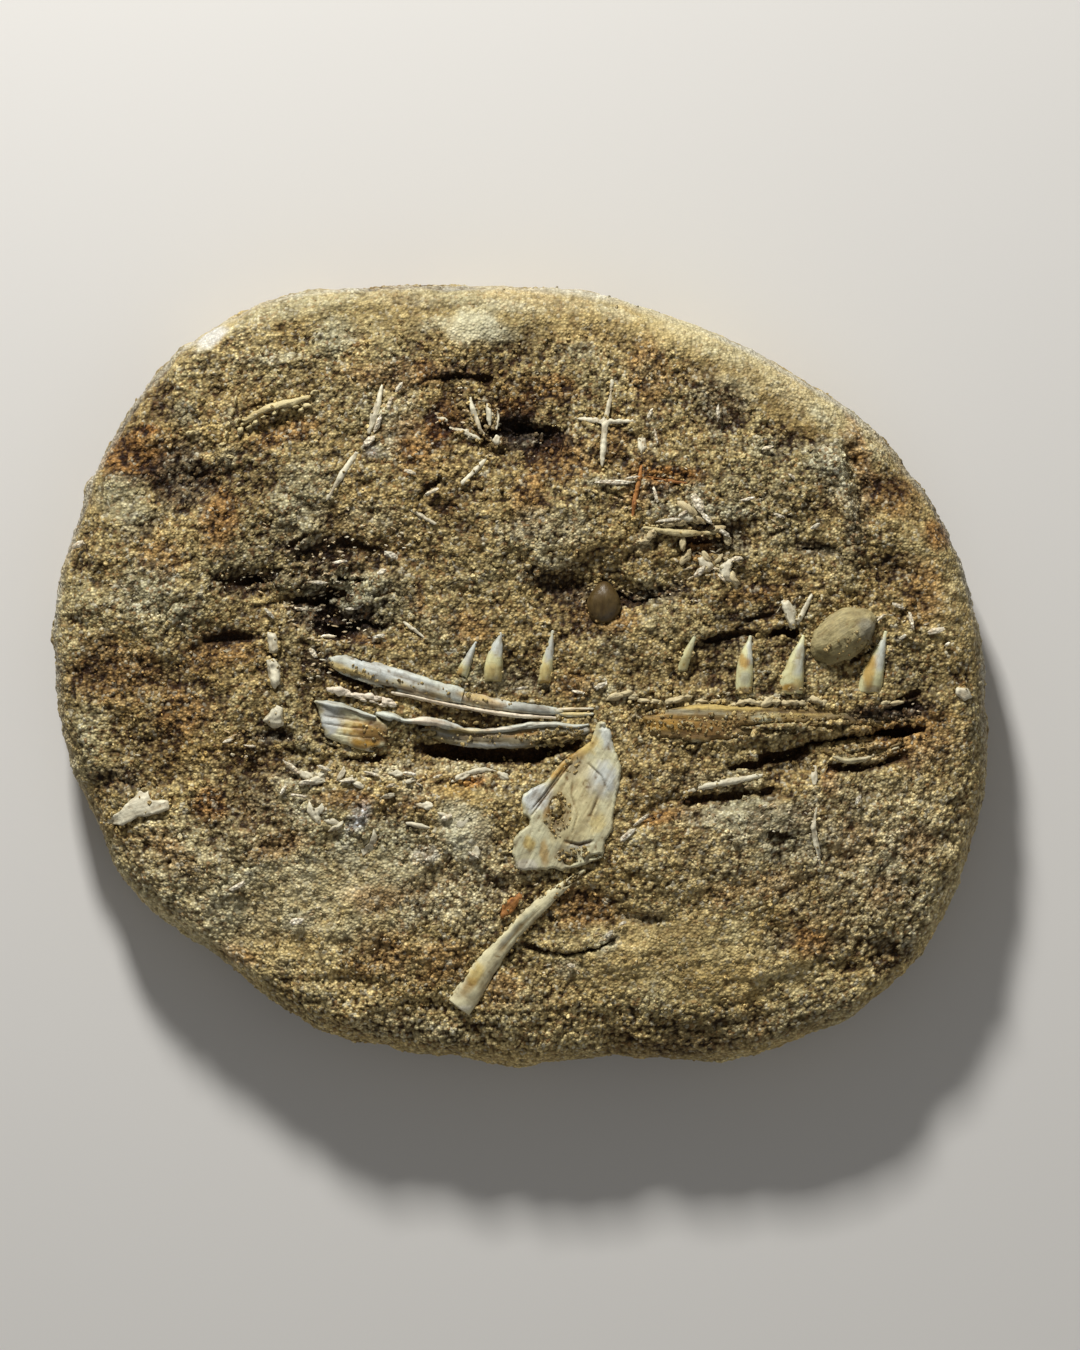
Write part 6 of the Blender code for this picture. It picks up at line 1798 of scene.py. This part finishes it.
# %% Lay the crumbs: x, y, half length, half width, height, turn
CRUST_BETWEEN = [
    (-47.8, -4, 1.6, 0.9, 1.2, 0), (-46, -4.2, 2, 1.1, 1.4, -10), (-44.2, -5, 1, 0.7, 0.9, -20),
    (-43, -5.4, 1.2, 0.5, 0.9, -15), (-41.2, -5.6, 1.6, 0.7, 1.1, -12),
    (-38.8, -5.7, 1.7, 0.8, 1.2, -10), (-36.6, -6, 1.4, 0.8, 1.1, -10),
    (-34.4, -6.8, 1.5, 0.9, 1.2, -15), (-32.6, -7.7, 1.3, 0.7, 1, -20), (-37.5, -7, 1.2, 0.4, 0.8, -15),
    (-35.2, -7.9, 1.2, 0.4, 0.8, -10), (-40, -6.6, 1, 0.4, 0.7, -10),
]
CRUST_LEFT = [
    (24.2, -5.8, 2.2, 0.9, 1, 20), (26.8, -5, 1.8, 0.8, 1, 15), (28.8, -5.8, 1.4, 0.6, 0.8, 0),
    (31.5, -6.8, 1.6, 0.5, 0.8, 0), (34.6, -7, 1.8, 0.5, 0.8, -5), (38.2, -7, 1.4, 0.6, 0.9, 15),
    (40.4, -6.4, 2, 0.8, 1.1, 20), (42.6, -5.9, 1.2, 0.5, 0.9, 10), (46, -7, 1.6, 0.5, 0.7, 0),
    (49.6, -7.1, 1.4, 0.5, 0.7, 0),
]
CRUST_RIGHT = [
    (54.2, -7.9, 1.2, 0.7, 1, 20), (56.3, -7.3, 1.5, 0.9, 1.2, 15), (58.6, -7, 1.3, 0.9, 1.2, -20),
    (60.8, -7.4, 1.2, 0.7, 1, 0), (63, -7, 1.6, 1, 1.3, 30), (65.4, -7, 1.3, 0.9, 1.2, 0),
    (67.4, -7.4, 1.2, 0.8, 1.1, 0), (69.6, -7, 1.5, 1, 1.3, -15), (71.9, -7.2, 1.3, 0.8, 1.1, 10),
    (75.2, -6.6, 1.7, 1, 1.2, -20), (77.4, -7.3, 1, 0.6, 0.8, 0), (90.2, -7, 1.4, 0.7, 0.9, 20),
    (93, -7.3, 1.5, 0.5, 0.9, 10), (95.6, -7.4, 1.5, 0.6, 1, 6),
]
CRUST_YELLOW = [
    (-52.6, 71.8, 1.1, 0.5, 1.2, 25), (-54.4, 68.4, 0.9, 0.5, 1.2, 0), (-55.8, 67.4, 0.8, 0.5, 1.2, 30),
    (-57.4, 68.2, 0.9, 0.4, 1.2, 10), (-60.2, 67.4, 0.9, 0.5, 1.2, 15),
    (-62.8, 66.6, 0.8, 0.5, 1.2, 40), (-65.4, 65.6, 0.9, 0.5, 1.2, 20),
    (-67.6, 64.2, 0.8, 0.5, 1.2, 50), (-69.6, 62.8, 1, 0.5, 1.2, 40), (-71.4, 62.2, 0.8, 0.5, 1.2, 70),
    (-70.2, 64.8, 0.9, 0.5, 1.2, 10), (-72.4, 64.6, 0.8, 0.5, 1.2, 80), (-73.6, 66.6, 1, 0.5, 1.2, 80),
    (-72.8, 69.8, 1.1, 0.4, 1.1, 85), (-74.6, 63.8, 0.9, 0.5, 1.2, 60), (-75, 61.4, 0.8, 0.5, 1.2, 80),
    (-76, 58.8, 0.9, 0.5, 1.2, 20), (-75, 57, 1, 0.6, 1.2, 80), (-74.2, 55.4, 0.9, 0.5, 1.2, 0),
    (-76.2, 55.6, 0.8, 0.5, 1.2, 50), (-84.4, 61.6, 0.9, 0.5, 1.1, 20),
]
CRUST_FLAKES = [
    (42.6, 41.8, 2.6, 1.3, 1.4, -50), (40.4, 38.8, 1.7, 0.9, 1.3, 10), (45.2, 39.4, 1.9, 1, 1.3, -30),
    (37.8, 38.2, 2, 0.7, 1.2, 5), (41.4, 33.2, 1.7, 0.9, 1.3, 80), (42.4, 30.2, 1.9, 1, 1.3, 60),
    (52.8, 34.2, 1.7, 0.9, 1.3, -60), (50.6, 37, 2.2, 0.7, 1.2, 0), (47.6, 29.6, 1.6, 0.8, 1.2, -50),
    (50.6, 29.4, 1.4, 0.6, 1.1, 50), (54.6, 24.2, 1.9, 0.9, 1.3, -60), (46.6, 26.6, 1.6, 0.8, 1.2, 30),
    (33.2, 35.6, 2, 0.9, 1.2, 50), (31.4, 33.8, 1.7, 0.8, 1.1, 20),
]
CRUST_LOW = [
    (-54.6, -25.8, 2, 0.9, 1.3, -30), (-52, -27.2, 2.1, 0.8, 1.3, 10),
    (-50.4, -25.4, 1.5, 0.7, 1.2, 40), (-45.6, -25.6, 1.8, 0.8, 1.3, 60),
    (-43.4, -26.8, 1.9, 0.8, 1.2, 20), (-41.4, -28.2, 1.5, 0.7, 1.1, -20),
    (-31.4, -25.4, 1.7, 0.8, 1.2, 0), (-28.2, -27.2, 1.5, 0.8, 1.2, 20),
    (-33.8, -31, 1.6, 0.7, 1.1, 10), (-14.8, -26.2, 2, 0.9, 1.3, 30), (-4.2, -26, 1.6, 1, 1.2, -30),
    (-24, -33.6, 1.9, 0.8, 1.1, 0), (-15.2, -38.4, 2.2, 1.5, 1.1, 40), (-12.8, -42, 2.4, 1.6, 1.1, 80),
    (-11.6, -45.6, 1.8, 1.2, 1.1, 60), (-20.2, -35.6, 1.6, 0.9, 1.1, -20),
    (-50.6, -34, 1.8, 0.7, 1.2, 80), (-46.6, -38.8, 2, 0.8, 1.2, 30),
]
CRUSTS = [
    ("crust_yellow", "yellow_ridge", CRUST_YELLOW, "ochre", 61, 951),
    ("crust_flakes", "pale_flake_1", CRUST_FLAKES, "crumb", 71, 961),
    ("crust_low", "star_flake", CRUST_LOW, "pale", 81, 971),
    ("crust_between", "crust_sliver", CRUST_BETWEEN, "ridge_pale", 31, 921),
    ("crust_left", "jaw_crust_left", CRUST_LEFT, "crumb", 41, 931),
    ("crust_right", "jaw_crust_right", CRUST_RIGHT, "crumb", 51, 941),
]
for name, node, rows, look, shape_seed, wear_seed in CRUSTS:
    add_bone(name, node, *lay_crumbs(rows, shape_seed), look, 0.02, 0.1, wear_seed)
print("crumbs:", sum(len(row[2]) for row in CRUSTS))

# %% [markdown]
# ## Small bones
# The other bones are small: ribs, spines, flakes and slivers. Their solids already have the right
# place and outline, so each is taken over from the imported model, given an even skin, softened,
# and worn like the others. This keeps every small bone exactly where it was packed.

# %% Carve the small bones
SKIN_CELL = 0.3
NAMED_LOOKS = {
    "pale": ["crossed_ribs", "rib_lower", "rib_leaf", "fin_ray_1", "fin_ray_2",
             "fin_ray_3", "fin_ray_4", "fin_ray_5", "ray_hub", "ray_splinter", "white_bead",
             "pale_flake_1", "pale_flake_2", "pale_flake_3", "fork_crust", "fork_sliver",
             "branched_flake", "left_bone_top", "left_bone_middle", "left_bone_low", "star_flake",
             "star_chip", "arrow_chip", "arc_flake", "pink_sliver", "right_splinter",
             "upright_chip", "upright_vein", "edge_chip", "thin_rib", "middle_splinter"],
    "ochre": ["yellow_ridge", "yellow_band"],
    "rust": ["rust_rib", "rust_branch", "blade_chip"],
}


def even_skin(node):
    """A packed bone's solid as an even net of squares, in millimetres."""
    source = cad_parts[node].data
    data = bpy.data.meshes.new("blank")
    data.from_pydata([vert.co / MM for vert in source.vertices], [],
                     [list(face.vertices) for face in source.polygons])
    thing = bpy.data.objects.new("blank", data)
    bpy.context.scene.collection.objects.link(thing)
    skin = thing.modifiers.new("skin", "REMESH")
    skin.mode = "VOXEL"
    skin.voxel_size = SKIN_CELL
    made = thing.evaluated_get(bpy.context.evaluated_depsgraph_get()).data
    points = np.array([vert.co for vert in made.vertices])
    quads = np.array([list(face.vertices) for face in made.polygons])
    bpy.data.objects.remove(thing, do_unlink=True)
    bpy.data.meshes.remove(data)
    return points, quads


def carve(node, look, seed):
    points, quads = even_skin(node)
    points = relax(points, quads, np.full(len(points), 0.5), 2)
    middle = points.mean(0)
    long_axis = np.linalg.eigh(np.cov((points - middle)[:, :2].T))[1][:, 1]
    along = (points - middle)[:, :2] @ long_axis
    across = (points - middle)[:, :2] @ np.array([-long_axis[1], long_axis[0]])
    way = np.stack([along, across, points[:, 2]], axis=-1)
    sunk = np.clip(swells(points, 3.0, seed + 40, 2) - 0.1, 0, 0.6)
    points[:, 2] -= 1.3 * sunk
    add_bone(node + "_fine", node, points, quads, way, look, 0.08, 0.24, seed)
    return len(quads)


total = 0
for look, nodes in NAMED_LOOKS.items():
    for number, node in enumerate(nodes):
        total += carve(node, look, 1000 + 20 * number)
print("small bones carved with", total, "squares")

# %% [markdown]
# ## Sand left on the bones
# The bones weren't cleaned fully, and single grains still stick to them. The finished bones are
# probed from above, like the slab at the start, and a grain is set on each place that is hit.

# %% Set grains on the bones
# Where they stick: x, y, half length, half width, turn, number
STUCK_GRAINS = [
    (60, -13, 20, 3.4, -1, 260), (40, -13.6, 8, 3.4, 0, 50), (88, -11, 12, 2.4, 2, 150),
    (87, -19.6, 9, 1.8, 0, 90), (8, -15.6, 8, 2.2, 8, 120), (-14, -16.6, 14, 1.8, 0, 30),
    (-37, -15.4, 5, 3.5, 0, 24), (-42, 0.6, 7, 1.6, -17, 20), (-22, -4.6, 14, 1.6, -15, 18),
    (-8, -6.2, 8, 1, -12, 14), (9.6, -36, 3.4, 5.5, -8, 70), (13.5, -46, 4.5, 2, 10, 50),
    (13, -23, 2, 3, 0, 16), (12, -53.4, 5, 1.4, 42, 24), (82, 6, 8, 3, 33, 30),
    (64, -4.6, 14, 1.4, 0, 50),
]
for node in sum(NAMED_LOOKS.values(), []):
    corners = np.array([vert.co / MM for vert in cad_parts[node].data.vertices])[:, :2]
    middle = (corners.max(0) + corners.min(0)) / 2
    half_size = (corners.max(0) - corners.min(0)) / 2
    STUCK_GRAINS.append((*middle, *half_size, 0, int(2 + 0.15 * half_size.prod())))

fine_tree = tree_of([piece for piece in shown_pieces()
                     if not piece.name.startswith(("slab", "grains", "shell"))])
middles = []
for number, patch_of_grains in enumerate(STUCK_GRAINS):
    for x, y in zip(*spots_in_oval(*patch_of_grains, 500 + 3 * number)):
        top = probe(fine_tree, (x, y, ABOVE), DOWN)[2]
        if top > read(sand_base, x, y):
            middles.append((x, y, top))
middles = np.array(middles)
size = 0.22 + 0.4 * luck(len(middles), 9) ** 2
middles[:, 2] += 0.1 * size
scatter("grains_on_bones", middles, size, paint(middles, SAND, WASHES), 260)
print("grains stuck on bones:", len(middles))

# %% [markdown]
# ## Light, floor and camera
# The real slab was lit from above and a little to the left, low enough for each grain to throw
# a shadow. One small soft lamp does that, a weak wide one opposite opens the shadows, and the
# pale floor sends light back on the side. The camera looks straight down from far away through a
# long lens, so that the slab's outline and its raised bones keep their true places.

# %% Set the stage
PIXEL = 0.256
FRAME_WIDTH = 1080 * PIXEL
SLAB_PIXEL = (520.5, 674)   # where the slab's middle is in a picture of 1080 by 1350
FRAME_MIDDLE = ((540 - SLAB_PIXEL[0]) * PIXEL, (SLAB_PIXEL[1] - 675) * PIXEL)
FACE_HEIGHT = 0.022
AIM = Vector((0.0, 0.0, 0.02))
WARM_WHITE = (1.0, 0.98, 0.95)
LENS = 250.0
SENSOR = 36.0


def make_lamp(name, place, size, power, colour):
    lamp = bpy.data.lights.new(name, "AREA")
    lamp.size = size
    lamp.energy = power
    lamp.color = colour
    thing = bpy.data.objects.new(name, lamp)
    thing.location = place
    thing.rotation_euler = (AIM - Vector(place)).to_track_quat("-Z", "Y").to_euler()
    bpy.context.scene.collection.objects.link(thing)


def make_floor():
    data = bpy.data.meshes.new("floor")
    data.from_pydata([(-9, -9, 0), (9, -9, 0), (9, 9, 0), (-9, 9, 0)], [], [(0, 1, 2, 3)])
    material, shader = new_material("pale_floor")
    shader.inputs["Base Color"].default_value = (0.72, 0.71, 0.69, 1.0)
    shader.inputs["Roughness"].default_value = 0.9
    data.materials.append(material)
    thing = bpy.data.objects.new("floor", data)
    bpy.context.scene.collection.objects.link(thing)
    thing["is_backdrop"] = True


make_floor()
make_lamp("key_lamp", (-0.26, 1.02, 0.62), 0.16, 19.0, (1.0, 0.98, 0.94))
make_lamp("fill_lamp", (0.5, -0.9, 0.8), 1.0, 1.4, WARM_WHITE)
world = bpy.context.scene.world or bpy.data.worlds.new("room")
bpy.context.scene.world = world
world.use_nodes = True
world.node_tree.nodes["Background"].inputs[0].default_value = (*WARM_WHITE, 1.0)
world.node_tree.nodes["Background"].inputs[1].default_value = 0.16
bpy.context.scene.view_settings.view_transform = "Standard"

camera_data = bpy.data.cameras.new("camera")
camera_data.sensor_fit = "HORIZONTAL"
camera_data.sensor_width = SENSOR
camera_data.lens = LENS
camera = bpy.data.objects.new("camera", camera_data)
distance = FRAME_WIDTH * MM * LENS / SENSOR
camera.location = (FRAME_MIDDLE[0] * MM, FRAME_MIDDLE[1] * MM, FACE_HEIGHT + distance)
bpy.context.scene.collection.objects.link(camera)
bpy.context.scene.camera = camera
print("camera height:", round(camera.location.z, 3), "m")

# %% [markdown]
# ## Counting triangles
# The triangles of each shown piece are counted, and the total and the largest piece are printed.

# %% Triangle counts
counts = {thing.name: sum(len(face.vertices) - 2 for face in thing.data.polygons)
          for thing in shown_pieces()}
print("triangles:", sum(counts.values()), "largest piece:", max(counts.values()))
